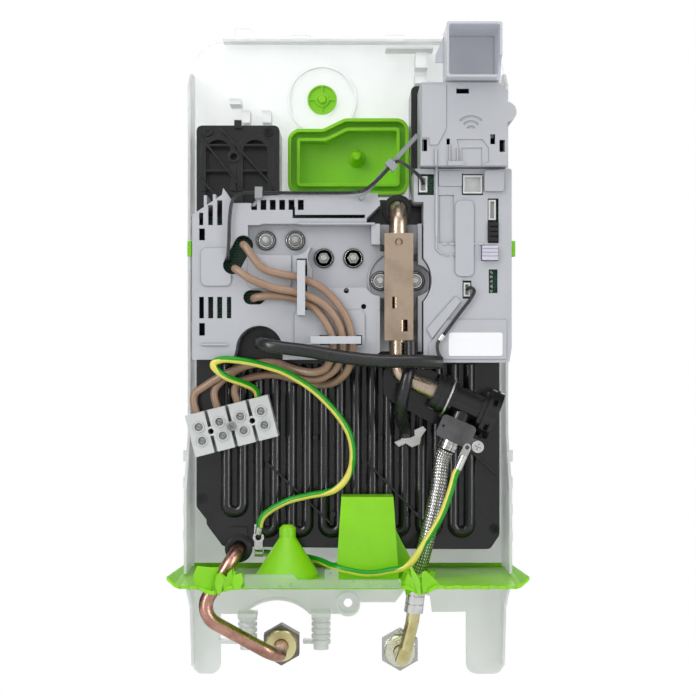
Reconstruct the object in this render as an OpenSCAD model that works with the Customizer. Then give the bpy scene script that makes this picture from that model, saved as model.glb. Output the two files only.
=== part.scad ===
// Compact electric instantaneous water heater with its cover off.
// The wall face lies on y = 0, z points up, and depths are counted from the wall towards the front.

/* [Case] */
// Width of the back shell
case_w = 232; // [220:1:244]
// Height that the places on the case follow
case_h = 480; // [460:1:500]
// Radius of the shell's upper corners
case_r = 24; // [16:1:30]
// Thickness of the shell's back wall
wall = 2.4; // [2:0.1:3]
// Thickness of the shell's side walls
side_wall = 2; // [1.6:0.1:2.4]
// Depth of the side walls
rim_d = 38; // [30:1:42]
// Depth of the side walls where they carry the bottom seal
skirt_d = 66; // [56:1:76]
// Width of the shell's left leg
leg_left_w = 21; // [16:1:24]
// Width of the shell's right leg
leg_right_w = 28; // [22:1:32]
// Radius of the lower fixing screw's hole
fix_r = 3.25; // [2.5:0.05:4]

/* [Heater block] */
// Gap between the heater block and the side walls
block_gap = 5.5; // [4:0.5:7]
// Depth of the heater block's back face
block_back = 5; // [4:0.5:7]
// Depth of the joint between the block's halves
block_mid = 27; // [24:1:29]
// Depth of the block's front face
block_front = 50; // [46:1:52]
// Radius of the moulded water channels on the front
rib_r = 4.3; // [3.6:0.1:4.8]
// Distance between two moulded channels
rib_pitch = 11.6; // [10.6:0.1:12.6]
// Radius of the bores that hold the heating coils
coil_bore_r = 5; // [4.6:0.1:5.6]
// Radius of a heating coil
coil_r = 3.8; // [3:0.1:4.2]
// Distance between the two terminals of a heating coil
stud_pitch = 20.6; // [19:0.2:23]
// Distance between the terminals of the coil behind the cold pipe
wide_pitch = 24.4; // [23:0.2:25]
// Radius of a terminal stud
stud_r = 2; // [1.5:0.1:2.5]

/* [Electronics] */
// Depth of the front of the wiring panel
panel_front = 84; // [82:1:86]
// Wall thickness of the panel, the carrier and the radio cover
skin = 2.2; // [1.8:0.1:2.6]
// Depth of the front of the control carrier
carrier_front = 92; // [90:1:94]
// Depth of the front of the radio cover
radio_front = 104; // [100:1:108]
// Depth of the front of the display box
display_front = 118; // [112:1:124]
// Inner depth of the display box
display_bay = 44; // [36:1:48]
// Thickness of the circuit boards
board_t = 1.6; // [1.2:0.1:2]
// Travel of the reset button
reset_travel = 2.5; // [1.5:0.1:3]
// Travel of the side latches
latch_travel = 3; // [1.5:0.1:4]

/* [Water path] */
// Outer radius of the cold pipe behind the heat sink
cold_pipe_r = 6.2; // [5.5:0.1:6.6]
// Outer radius of the hot outlet pipe
hot_pipe_r = 5; // [4:0.1:5.4]
// Outer radius of the cold elbow
elbow_r = 4.7; // [4:0.1:5]
// Wall thickness of the pipes
pipe_wall = 1; // [0.8:0.1:1.4]
// Radius of the braided hose
hose_r = 5.5; // [5:0.1:6]
// Depth of the cold pipe's and the flow body's axis
pipe_d = 80; // [78:0.5:80]
// Radius of the flow body
flow_r = 10.2; // [9.6:0.1:11]
// Radius of the flow body's cap
cap_r = 17.3; // [16:0.1:18]
// Size across the flats of the union nuts
nut_af = 26; // [25:0.5:28]
// Length of the union nuts
nut_l = 17; // [16:0.5:20]
// Radius of the union nuts' thread bore
thread_r = 9.32; // [9:0.02:9.6]

/* [Seals] */
// Thickness of the green rubber
rubber = 2.4; // [2:0.1:3]
// Width of the bottom seal
seal_w = 246; // [240:1:250]
// Depth of the bottom seal's front edge
seal_front = 112; // [104:1:118]
// Height of the upper cable boot
boot_h = 20; // [16:1:24]

/* [Terminal block] */
// Length of the terminal block
tb_w = 60; // [56:1:62]
// Height of the terminal block
tb_h = 30; // [26:1:32]
// Depth of the terminal block
tb_d = 20; // [18:1:21]
// Tilt of the terminal block
tb_tilt = 14.4; // [10:0.2:18]
// Radius of its conductor bores
tb_bore_r = 3.2; // [3:0.1:3.4]

/* [Leads] */
// Radius of the brown heater leads
lead_r = 2.7; // [2.3:0.1:2.8]
// Radius of the earth leads
earth_r = 2.4; // [2:0.1:2.6]
// Radius of the black sleeve across the panel
sleeve_r = 4.6; // [4:0.1:4.8]
// Radius of the black sleeve over the sensor's lead
sensor_sleeve_r = 4.4; // [3.8:0.1:4.6]
// Radius of the thin sensor leads
sensor_r = 1.2; // [0.9:0.1:1.3]

/* [Hidden] */
$fn = 48;

// Shared clearances
gap = 0.3;
run_gap = 0.4;
over = 1;

// Colours
frosted = [0.88,0.9,0.9,0.6];
lime = [0.6,0.86,0.08];
black = [0.12,0.12,0.13];
grey = [0.66,0.67,0.7];
pale = [0.9,0.91,0.92];
board_green = [0.05,0.35,0.24];
copper = [0.72,0.45,0.35];
brass = [0.8,0.72,0.42];
steel = [0.78,0.79,0.8];
bronze = [0.6,0.5,0.42];
brown = [0.62,0.4,0.28];
earth_green = [0.35,0.75,0.15];

// Places on the case are shares of its width and height, and routes follow its width, depth and height
route_shares = [0.0043103,0.0119048,0.0020833];
function on_case(p) = [for (q = p)
 [q[0] * route_shares[0] * case_w, q[1] * route_shares[1] * panel_front, q[2] * route_shares[2] * case_h]];
function spot(s) = [s[0] * case_w, s[1] * case_h];
function span(s) = [s[0] * case_w, s[1] * case_w, s[2] * case_h, s[3] * case_h];
function middle(s) = [(s[0] + s[1]) * case_w / 2, (s[2] + s[3]) * case_h / 2];
function unit(v) = v / norm(v);
function clip(v) = max(-1, min(1, v));
rib_front = block_front + rib_r + gap;
function at(s, d) = [s[0] * case_w, -d, s[1] * case_h];

// A flat outline in x and z, given depth from d0 to d1
module face(d0, d1) {
 translate([0, -d0, 0]) rotate([90,0,0]) linear_extrude(d1 - d0) children();
}

// A flat outline in x and depth, standing from z0 to z1
module floor_of(z0, z1) {
 translate([0, 0, z0]) linear_extrude(z1 - z0) mirror([0,1]) children();
}

// A round bar along the depth
module peg(p, d0, d1, r, r2 = 0) {
 translate([p[0], -d0, p[1]]) rotate([90,0,0])
  cylinder(h = d1 - d0, r1 = r, r2 = r2 > 0 ? r2 : r);
}

module rect(b) {
 translate([b[0], b[2]]) square([b[1] - b[0], b[3] - b[2]]);
}

module shape(shares) polygon([for (s = shares) spot(s)]);
module disc(share, r) translate(spot(share)) circle(r);

module round_rect(b, r) {
 rect([b[0] + r, b[1] - r, b[2], b[3]]);
 rect([b[0], b[1], b[2] + r, b[3] - r]);
 for (x = [b[0] + r, b[1] - r], z = [b[2] + r, b[3] - r])
  translate([x, z]) circle(r);
}

module stadium(a, b, r) {
 run = b - a;
 translate(a) rotate(atan2(run[1], run[0])) {
  translate([0, -r]) square([norm(run), 2 * r]);
  circle(r);
  translate([norm(run), 0]) circle(r);
 }
}

module bar(a, b, w) {
 run = b - a;
 translate(a) rotate(atan2(run[1], run[0])) translate([0, -w / 2]) square([norm(run), w]);
}

module block3(b, d0, d1) {
 face(d0, d1) rect(b);
}

// Stands a child that points along +z on the point a, towards the point b
module towards(a, b, side = [0,0,0]) {
 w = unit(b - a);
 h = norm(side) > 0 ? unit(side) : abs(w[2]) < 0.9 ? [0,0,1] : [1,0,0];
 u = unit(cross(h, w));
 v = cross(w, u);
 multmatrix([[u[0], v[0], w[0], a[0]], [u[1], v[1], w[1], a[1]],
  [u[2], v[2], w[2], a[2]],[0,0,0,1]]) children();
}

// A bent pipe of radius r through the points p, with bends of radius bend
function turn(p, i) = acos(clip(unit(p[i] - p[i - 1]) * unit(p[i + 1] - p[i])));
function trim(p, i, bend) = i == 0 || i == len(p) - 1 ? 0 : bend * tan(turn(p, i) / 2);

module ring_of(r, t) {
 difference() {
  circle(r);
  circle(r - t);
 }
}

// The bends are a hair thicker than the straight runs, which end inside them
swell = 0.06;

module pipe(p, r, bend) {
 for (i = [0:len(p) - 2]) {
  w = unit(p[i + 1] - p[i]);
  a = p[i] + w * (trim(p, i, bend) - (i > 0 ? gap : 0));
  b = p[i + 1] - w * (trim(p, i + 1, bend) - (i < len(p) - 2 ? gap : 0));
  towards(a, b, i < len(p) - 2 ? p[i + 2] - p[i + 1] : p[i] - p[i - 1])
   linear_extrude(norm(b - a)) ring_of(r, pipe_wall);
 }
 for (i = [1:1:len(p) - 2]) {
  u = unit(p[i] - p[i - 1]);
  v = unit(p[i + 1] - p[i]);
  n = unit(v - (v * u) * u);
  c = p[i] - u * trim(p, i, bend) + n * bend;
  k = cross(u, n);
  multmatrix([[-n[0], u[0], k[0], c[0]], [-n[1], u[1], k[1], c[1]],
   [-n[2], u[2], k[2], c[2]],[0,0,0,1]])
   rotate_extrude(angle = turn(p, i)) translate([bend, 0]) ring_of(r + swell, pipe_wall + 2 * swell);
 }
}

// A flexible lead along hand-picked points, swept as one closed skin
function curve_at(a, b, c, d, t) =
 (2 * b + (c - a) * t + (2 * a - 5 * b + 4 * c - d) * t * t + (3 * b - a - 3 * c + d) * t * t * t) / 2;
function curve(p, n) = concat([for (i = [0:len(p) - 2], k = [0:n - 1])
 curve_at(p[max(i - 1, 0)], p[i], p[i + 1], p[min(i + 2, len(p) - 1)], k / n)], [p[len(p) - 1]]);
function carried(n, t) = unit(n - (n * t) * t);

module lead(points, r, sides = 8, steps = 2) {
 p = curve(points, steps);
 last = len(p) - 1;
 t = [for (i = [0:last]) unit(p[min(i + 1, last)] - p[max(i - 1, 0)])];
 first = carried(abs(t[0][0]) < 0.8 ? [1,0,0] : [0,1,0], t[0]);
 n = [for (i = 0, v = first; i <= last; i = i + 1, v = i <= last ? carried(v, t[i]) : v) v];
 polyhedron(
  points = [for (i = [0:last], k = [0:sides - 1])
   p[i] + r * (cos(360 * k / sides) * n[i] + sin(360 * k / sides) * cross(t[i], n[i]))],
  faces = concat(
   [[for (k = [0:sides - 1]) k]],
   [[for (k = [sides - 1:-1:0]) last * sides + k]],
   [for (i = [0:last - 1], k = [0:sides - 1])
    [i * sides + k, (i + 1) * sides + k, (i + 1) * sides + (k + 1) % sides]],
   [for (i = [0:last - 1], k = [0:sides - 1])
    [i * sides + k, (i + 1) * sides + (k + 1) % sides, i * sides + (k + 1) % sides]]));
}

// Back shell

case_left = -case_w / 2;
case_right = case_w / 2;
case_top = 0.475 * case_h;
seal_z = -0.341 * case_h;
seal_rise_share = 0.003;
plate_bottom = -0.413 * case_h;
leg_bottom = -0.506 * case_h;
lug_shares = [[-0.361,0.4],[-0.361,0.496],[-0.316,0.496],[-0.277,0.47],[-0.277,0.4]];
small_lug_share = [-0.181,-0.12,0.4,0.486];
plate_right_shares = [[-0.05,-0.34],[-0.05,-0.413],[0.04,-0.395],[0.151,-0.395],[0.183,-0.376],
 [0.263,-0.385],[0.27,-0.41],[0.4,-0.41],[0.4,-0.34]];
arch_spot_share = [-0.227,-0.461];
arch_r = 33.4;
port_share = [0,-0.396];
port_r = 9;
boss_h = 9;
spout_shares = [-0.32,-0.086];
spout_r = 7;
spout_bore_r = 5;
spout_d = 12;
spout_l = 27;
spout_rings = 5;
plug_share = [-0.083,0.385];
plug_r = 10.9;
plug_shank_r = 9;
dish_r = 26;
dish_h = 5;
boot_corner_r = 9;
boot_share = [-0.19,0.192,0.234,0.351];
boot_step_share = [-0.19,-0.01,0.335,0.36];
inner_x = case_left + side_wall;
pad_r = 5;
pad_shares = [[-0.42,0.31],[-0.26,0.24],[0.42,0.36],[0.25,0.24],[-0.42,-0.2],[0.42,-0.2],
 [0,-0.1],[0.05,0.18]];
lower_side_share = -0.13;
wave_shares = [-0.17,-0.21,-0.25,-0.29];
wave_h = 8;
wave_out = 2.4;
web = 3;
bar_z_share = -0.458;
bar_t = 3;
ledge_t = 2;
ledge_shares = [[-0.49,-0.45],[-0.325,-0.29],[-0.075,-0.035],[0.16,0.17],[0.27,0.49]];
foot_r = 8;
shell_post_shares = [[-0.335,-0.31,0.344,0.363],[-0.271,-0.243,0.344,0.363],[-0.374,-0.338,0.372,0.381],
 [0.213,0.251,0.428,0.451],[0.211,0.249,0.404,0.419],[0.12,0.27,0.457,0.461]];
hot_nut_share = [-0.211,-0.455];

module shell_outline() {
 round_rect([case_left, case_right, seal_z, case_top], case_r);
 rect([case_left, case_right, seal_z, 0]);
 for (side = [0,1]) mirror([side, 0]) {
  shape(lug_shares);
  rect(span(small_lug_share));
 }
 difference() {
  rect([case_left + leg_left_w, 0, plate_bottom, seal_z]);
  disc(arch_spot_share, arch_r);
 }
 shape(plate_right_shares);
 disc(port_share, port_r);
 round_rect([case_left, case_left + leg_left_w, leg_bottom, 0], foot_r);
 round_rect([case_right - leg_right_w, case_right, leg_bottom, 0], foot_r);
}

// The side wall seen from the side: height against depth
side_wall_points = [[case_h * 0.42, 0], [case_h * 0.42, rim_d * 0.5], [case_h * 0.395, rim_d],
 [case_h * lower_side_share, rim_d], [case_h * (lower_side_share - 0.08), skirt_d],
 [seal_z, skirt_d], [seal_z - rubber - over, skirt_d * 0.9], [seal_z - skirt_d * 0.4, rim_d * 0.6],
 [leg_bottom + foot_r, rim_d * 0.3], [leg_bottom + foot_r, 0]];

module side_wall_of(x) {
 translate([x, 0, 0]) rotate([90,0,90]) linear_extrude(side_wall)
  polygon([for (q = side_wall_points) [-q[1], q[0]]]);
}

module spout(x) {
 pitch = spout_l / spout_rings / 2;
 translate([x, -spout_d, plate_bottom - spout_l + pitch]) difference() {
  union() {
   cylinder(r = spout_r - bar_t / 2, h = spout_l);
   for (i = [1:spout_rings]) translate([0, 0, i * pitch * 1.6]) cylinder(r = spout_r, h = pitch);
  }
  translate([0, 0, -over]) cylinder(r = spout_bore_r, h = spout_l + 2 * over);
 }
}

module back_shell() color(frosted) {
 difference() {
  union() {
   face(0, wall) shell_outline();
   side_wall_of(case_left);
   side_wall_of(case_right - side_wall);
   // top wall between the corners
   block3([case_left + case_r, case_right - case_r, case_top - side_wall, case_top], wall - gap, rim_d * 0.4);
   for (side = [0,1]) mirror([side, 0, 0]) {
    for (s = wave_shares)
     block3([case_right - side_wall, case_right + wave_out, s * case_h, s * case_h + wave_h],
      rim_d, rim_d + wave_h);
   }
   // ring round the plug, boss of the lower screw and pads under the heater block
   peg(spot(plug_share), wall - gap, dish_h, dish_r);
   peg(spot(port_share), wall - gap, boss_h, port_r);
   for (s = pad_shares) peg(spot(s), wall - gap, block_back, pad_r);
   // ledge under the bottom seal
   for (s = ledge_shares)
    block3([s[0] * case_w, s[1] * case_w, seal_z - ledge_t, seal_z], wall - gap, skirt_d * 0.9);
   // spouts below the plate, their root and the bar that ties them to the left leg
   for (s = spout_shares) {
    spout(s * case_w);
    block3([s * case_w - spout_r, s * case_w + spout_r, plate_bottom, plate_bottom + web],
     wall - gap, spout_d + spout_r);
   }
   for (b = [[case_left + leg_left_w - over, spout_shares[0] * case_w],
    [hot_nut_share[0] * case_w + nut_af * 0.6, spout_shares[1] * case_w]])
    block3([b[0], b[1], bar_z_share * case_h, bar_z_share * case_h + bar_t], 0,
     spout_d - spout_bore_r - gap);
   // snap posts, and the raised edge of the arch over the hot nut
   for (s = shell_post_shares) block3(span(s), wall - gap, rim_d * 0.6);
   face(wall - gap, wall + ledge_t) difference() {
    disc(arch_spot_share, arch_r + ledge_t);
    disc(arch_spot_share, arch_r);
    rect([case_left, case_right, -case_h, plate_bottom]);
   }
  }
  peg(spot(plug_share), dish_h - (dish_h - wall) - gap, dish_h + over, dish_r - side_wall);
  peg(spot(plug_share), -over, dish_h + over, plug_shank_r + gap);
  peg(spot(port_share), -over, boss_h + over, fix_r);
  peg(spot(port_share), wall, boss_h + over, port_r - side_wall);
  face(-over, wall + over) offset(delta = -2 * rubber - over) boot_outline();
  // the seal runs out over both sides
  for (side = [0,1]) mirror([side, 0, 0])
   block3([-inner_x - over, case_right + wave_out + over,
    seal_z, seal_z + rubber + gap + seal_rise_share * case_h], wall + side_wall, seal_front);
  // the boot sits on the flat of the back wall
  face(wall, dish_h + over) offset(delta = gap) boot_outline();
 }
}

module screw_hole_plug() color(lime) {
 p = spot(plug_share);
 difference() {
  union() {
   peg(p, wall, wall + rubber, plug_r);
   peg(p, 0, wall, plug_shank_r);
   peg(p, wall + rubber, wall + 2 * rubber, plug_r / 2 - side_wall, plug_r / 3 - side_wall / 2);
  }
  face(wall + rubber / 2, wall + rubber + over) difference() {
   translate(p) circle(plug_r - rubber / 2);
   translate(p) circle(plug_r / 2);
   for (a = [0,90,180,270]) translate(p) rotate(a) translate([0, -rubber / 4]) square([plug_r, rubber / 2]);
  }
 }
}

// Ends of the hot pipe's first run, and the hose's route, which the seal grips
hot_gland_d = 68;
hot_top = at([-0.336,-0.298], hot_gland_d);
hot_corner = at([-0.457,-0.39], hot_gland_d);
flow_share = [0.26,-0.062];
flow_tilt = 23.3;
branch_at = 24;
branch_l = 25;
ferrule_l = 9.8;
elbow_top_d = 70;
elbow_top = at([0.1985,-0.3875], elbow_top_d);
elbow_rise = [2,-1.7,18];
hose_start = branch_point(branch_l + ferrule_l + gap);
hose_end = elbow_top + elbow_rise;
hose_shares = [0.075,0.25,0.5,0.77,0.91];
hose_bows = [[-1.4,0.4],[-0.2,-4],[0,-6.6],[-0.8,-5.4],[-1,-1.4]];
hose_route = concat([hose_start], [for (i = [0:4]) hose_start + hose_shares[i] * (hose_end - hose_start)
 + [hose_bows[i][0], hose_bows[i][1], 0]], [hose_end]);

// Green rubber

module boot_outline() {
 b = span(boot_share);
 s = span(boot_step_share);
 r = boot_corner_r;
 offset(r = r) offset(delta = -r) {
  rect([b[0], b[1], b[2], s[2]]);
  rect([s[1], b[1], s[2] - over, b[3]]);
  polygon([[s[1] - r * 2, s[2] - over], [s[1] + over, s[2] - over], [s[1] + over, b[3]], [s[1], b[3]]]);
 }
}

boot_lip = 3;
nipple_share = [0.028,0.293];
nipple_r = 6.5;

module upper_cable_boot() color(lime) {
 groove = boot_h / 2;
 difference() {
  face(wall, wall + boot_h) boot_outline();
  // groove between the outer lip and the inner rim
  face(wall + groove, wall + boot_h + over) difference() {
   offset(delta = -rubber) boot_outline();
   offset(delta = -rubber - boot_lip - over) boot_outline();
  }
  face(wall + boot_h - rubber, wall + boot_h + over)
   offset(delta = -rubber) boot_outline();
  // hollow inside the inner rim
  face(wall + rubber, wall + boot_h + over)
   offset(delta = -2 * rubber - boot_lip - over) boot_outline();
 }
 peg(spot(nipple_share), wall + rubber, wall + boot_h - nipple_r, nipple_r, nipple_r - rubber);
 peg(spot(nipple_share), wall + boot_h - nipple_r, wall + boot_h - rubber, nipple_r - rubber, nipple_r / 3);
}

seal_back = 12;
seal_lip = 5;
seal_dip_share = 0.008;
seal_line_shares = [[-0.5,0.013],[-0.478, seal_rise_share],[-0.462,0],[-0.418,0],[-0.392,-0.006],
 [-0.372,-0.008],[-0.355,-0.006],[-0.33,0],[0.165,0],[0.183,-0.005],[0.2,-0.008],[0.218,-0.006],
 [0.24,0],[0.462,0],[0.478, seal_rise_share],[0.5,0.013]];
funnel_share = [-0.184,-0.26];
funnel_d = 66;
funnel_r = 22;
funnel_neck_r = 5.8;
pocket_share = [-0.02,0.137,-0.341,-0.217];
pocket_l = 23;
pocket_flare = 4;
pocket_gusset_shares = [[0.137,-0.26],[0.208,-0.325],[0.22,-0.341],[0.137,-0.341]];
grip = 3.4;
seal_waves = 6;
wave_r = 4;

module funnel_profile(grow) {
 top = funnel_share[1] * case_h;
 polygon([[0, seal_z], [funnel_r - grow, seal_z], [funnel_r - grow, seal_z + rubber * 2],
  [funnel_neck_r - grow, top - funnel_r * 0.4], [funnel_neck_r - grow, top - rubber],
  [funnel_neck_r - rubber, top - grow],[0, top - grow]]);
}

// A collar that grips a pipe where it passes through the seal
hot_cross = hot_top + (hot_corner - hot_top) * (hot_top[2] - seal_z) / (hot_top[2] - hot_corner[2]);
seal_grips = [[hot_cross, hot_top - hot_corner, hot_pipe_r],
 [hose_route[5], hose_route[5] - hose_route[6], hose_r + gap]];

module seal_collar(g) {
 towards(g[0] - unit(g[1]) * grip, g[0]) cylinder(r1 = g[2] + 2 * grip, r2 = g[2] + grip, h = 2 * grip);
}

module seal_bore(g) {
 towards(g[0] - unit(g[1]) * 3 * grip, g[0]) {
  cylinder(r = g[2] + gap, h = 8 * grip);
  cylinder(r1 = g[2] + 3 * grip, r2 = g[2] + gap, h = 3 * grip);
 }
}

module bottom_seal() color(lime) {
 q = span(pocket_share);
 pocket_d = [rib_front + gap, rib_front + gap + pocket_l];
 difference() {
  union() {
   intersection() {
    face(seal_back, seal_front) polygon(concat(
     [for (s = seal_line_shares) [s[0] * seal_w, seal_z + s[1] * case_h]],
     [for (i = [len(seal_line_shares) - 1:-1:0])
      [seal_line_shares[i][0] * seal_w, seal_z + rubber + seal_line_shares[i][1] * case_h]]));
    floor_of(seal_z - 2 * seal_lip, seal_z + 3 * seal_lip) difference() {
     polygon([[-seal_w / 2 + wave_r, seal_back], [seal_w / 2 - wave_r, seal_back],
      [seal_w / 2, seal_front], [-seal_w / 2, seal_front]]);
     for (side = [-1,1], i = [1:seal_waves])
      translate([side * (seal_w / 2 - i * wave_r * 3), seal_front + wave_r * 0.4]) circle(wave_r);
    }
   }
   // turned-up back lip
   block3([inner_x + gap, -inner_x - gap, seal_z, seal_z + seal_lip], seal_back, seal_back + rubber);
   translate([funnel_share[0] * case_w, -funnel_d, 0]) rotate_extrude() funnel_profile(0);
   face(pocket_d[0], pocket_d[1])
    polygon([[q[0] - pocket_flare, q[2]], [q[1] + pocket_flare, q[2]], [q[1], q[3]], [q[0], q[3]]]);
   face(pocket_d[0] + pocket_l / 2, pocket_d[0] + pocket_l / 2 + rubber)
    shape(pocket_gusset_shares);
   intersection() {
    for (g = seal_grips) seal_collar(g);
    block3([-seal_w, seal_w, seal_z - seal_dip_share * case_h, seal_z + 4 * seal_lip], 0, 2 * seal_front);
   }
  }
  translate([funnel_share[0] * case_w, -funnel_d, -over / 2]) rotate_extrude() funnel_profile(rubber);
  face(pocket_d[0] + rubber, pocket_d[1] - rubber)
   polygon([[q[0] + rubber - pocket_flare, q[2] - over], [q[1] - rubber + pocket_flare, q[2] - over],
    [q[1] - rubber, q[3] - rubber], [q[0] + rubber, q[3] - rubber]]);
  for (g = seal_grips) seal_bore(g);
 }
}

// Heater block

panel_share = [-0.467,0.242,-0.017,0.222];
panel_span = span(panel_share);

block_w = case_w - 2 * (side_wall + block_gap);
block_shares = [[-0.5,-0.237],[-0.467,-0.256],[-0.467,-0.263],[-0.413,-0.296],[0.27,-0.3],
 [0.469,-0.3],[0.5,-0.279],[0.5,0.391],[0.208,0.391],[0.208,0.221],
 [-0.226,0.221],[-0.226,0.332],[-0.5,0.332]];
block_corner_r = 4;
arch_x_shares = [-0.4,-0.286];
arch_z_share = 0.2915;
arch_in_r = 9;
arch_band = 4;
arch_floor = 12;
arch_rib_shares = [0.263,0.301];
tower_boss_share = [-0.352,0.285];
tower_boss_r = 4.4;
tower_boss_bore_r = 2.4;
brace_shares = [[[-0.46,0.318],[-0.327,0.238]],[[-0.392,0.328],[-0.216,0.232]],
 [[-0.46,0.255],[-0.4,0.224]],[[-0.25,-0.17],[-0.05,-0.262]],[[0.06,-0.17],[0.24,-0.262]],
 [[0.3,-0.12],[0.46,-0.19]]];
brace_w = 1.4;
brace_h = 4.6;
arch_cut_share = 0.234;
catch_share = [-0.35,-0.328,0.327,0.339];
catch_h = 4;
rib_top_share = -0.024;
rib_bottom_share = -0.262;
rib_left_share = -0.232;
peg_shares = [[-0.1,-0.133],[0.1,-0.133],[-0.045,-0.247],[-0.018,-0.247],[0.18,-0.247],[0.215,-0.247]];
peg_r = 1.8;
power_post_shares = [[-0.4,0.06],[-0.4,0.18],[0.03,0.06],[0.03,0.18]];
post_r = 3;
board_post_h = 9;
screw_r = 1.7;
screw_l = 10;
head_r = 3.2;
head_h = 2.2;
block_screw_shares = [[-0.432,0.3225],[-0.245,0.3225],[0.26,0.36],[0.43,0.36],[-0.45,-0.225],[0.452,-0.27],
 [0,-0.288]];
coil_bottom_share = -0.19;
stud_pair_shares = [[-0.248,0.157],[-0.073,0.131],[0.0975,0.098]];
stud_pitches = [stud_pitch, stud_pitch, wide_pitch];
stud_spots = [for (i = [0:2], k = [0,1]) spot(stud_pair_shares[i]) + [k * stud_pitches[i], 0]];
cold_x_share = 0.152;
cold_top_share = 0.204;
cold_bore_r = cold_pipe_r + gap;

module block_outline() {
 offset(r = block_corner_r) offset(delta = -block_corner_r)
  polygon([for (s = block_shares) [s[0] * block_w, s[1] * case_h]]);
}

module coil_path(r, lead) {
 z = coil_bottom_share * case_h;
 for (i = [0,2,4]) {
  a = stud_spots[i];
  pitch = stud_pitches[i / 2];
  for (k = [0,1]) translate([a[0] + k * pitch, -block_mid, z]) cylinder(r = r, h = a[1] - z + lead);
  translate([a[0] + pitch / 2, -block_mid, z]) rotate([-90,0,0])
   rotate_extrude(angle = 180) translate([pitch / 2, 0]) circle(r);
 }
}

module heater_block_rear() color(black) {
 difference() {
  face(block_back, block_mid) block_outline();
  coil_path(coil_bore_r, stud_r + gap);
  for (s = block_screw_shares) peg(spot(s), block_mid - screw_l - over, block_mid + over, screw_r + gap);
 }
}

module u_rib(x, bottom_share) {
 z0 = bottom_share * case_h;
 z1 = rib_top_share * case_h;
 for (k = [0,1]) translate([x + k * rib_pitch, -block_front, z0]) cylinder(r = rib_r, h = z1 - z0);
 translate([x + rib_pitch / 2, -block_front, z0]) rotate([-90,0,0])
  rotate_extrude(angle = 180) translate([rib_pitch / 2, 0]) circle(rib_r);
}

module heater_block_front() color(black) {
 pairs = floor((block_w / 2 - rib_r) / (2 * rib_pitch));
 difference() {
  union() {
   face(block_mid, block_front) block_outline();
   for (i = [-pairs:pairs - 1])
    u_rib((2 * i + 0.5) * rib_pitch, i == -pairs ? rib_left_share : rib_bottom_share);
   for (x = arch_x_shares) face(block_front - gap, block_front + web / 2) difference() {
    stadium([x * case_w, rib_top_share * case_h], spot([x, arch_z_share]), arch_in_r + arch_band);
    rect([case_left, 0, -case_h, case_h * arch_cut_share]);
   }
   for (s = brace_shares) face(block_front - gap, block_front + brace_h) bar(spot(s[0]), spot(s[1]), brace_w);
   block3(span(catch_share), block_front - catch_h, block_front + catch_h);
   for (s = peg_shares) peg(spot(s), block_front - gap, block_front + brace_h, peg_r);
   for (s = power_post_shares) peg(spot(s), block_front - gap, block_front + board_post_h, post_r);
   peg(spot(tower_boss_share), block_front - arch_floor, block_front + web, tower_boss_r);
  }
  coil_path(coil_bore_r, stud_r + gap);
  for (x = arch_x_shares) face(block_front - arch_floor, block_front + web) difference() {
   stadium(spot([x, arch_rib_shares[0] - 0.05]), spot([x, arch_z_share]), arch_in_r);
   for (z = arch_rib_shares)
    rect([x * case_w - arch_in_r, x * case_w + arch_in_r, z * case_h, z * case_h + brace_w]);
   disc(tower_boss_share, tower_boss_r);
  }
  peg(spot(tower_boss_share), block_front - arch_floor - over, block_front + 2 * web, tower_boss_bore_r);
  for (p = stud_spots) peg(p, block_mid - over, block_front + over, stud_r + gap);
  for (s = block_screw_shares) peg(spot(s), block_mid - over, block_front + over, screw_r + gap);
 }
}

module heating_coils() color(steel) coil_path(coil_r, -stud_r - gap);

module block_screws() color(steel) for (s = block_screw_shares) {
 p = spot(s);
 difference() {
  union() {
   peg(p, block_front, block_front + head_h, head_r);
   peg(p, block_mid - screw_l, block_front, screw_r);
  }
  face(block_front + head_h / 2, block_front + head_h + over) for (a = [45,135])
   translate(p) rotate(a) square([head_r * 1.3, head_r / 4], center = true);
 }
}

// Terminals of the heating coils

panel_recess = 74;
stud_front = panel_front - 2;
ring_r = 6.6;
ring_in_r = 5.3;
ring_front = panel_recess + 2;
stud_nut_af = 7;
stud_nut_h = 3.2;
washer_r = 4.9;

module terminal_studs() color(steel) for (p = stud_spots) {
 peg(p, block_mid - coil_r, stud_front, stud_r);
 peg(p, block_front, panel_recess - over, washer_r);
}

module terminal_nuts() color(steel) for (p = stud_spots) difference() {
 union() {
  peg(p, panel_recess - over, panel_recess, washer_r);
  translate([p[0], -panel_recess, p[1]]) rotate([90,0,0])
   cylinder(r = stud_nut_af / sqrt(3), h = stud_nut_h, $fn = 6);
 }
 peg(p, panel_recess - 2 * over, panel_recess + stud_nut_h + over, stud_r + gap / 6);
}

module terminal_rings() color(black) for (p = stud_spots) difference() {
 peg(p, block_front, ring_front, ring_r);
 peg(p, block_front - over, ring_front + over, ring_in_r);
}

// Electronics

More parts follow.
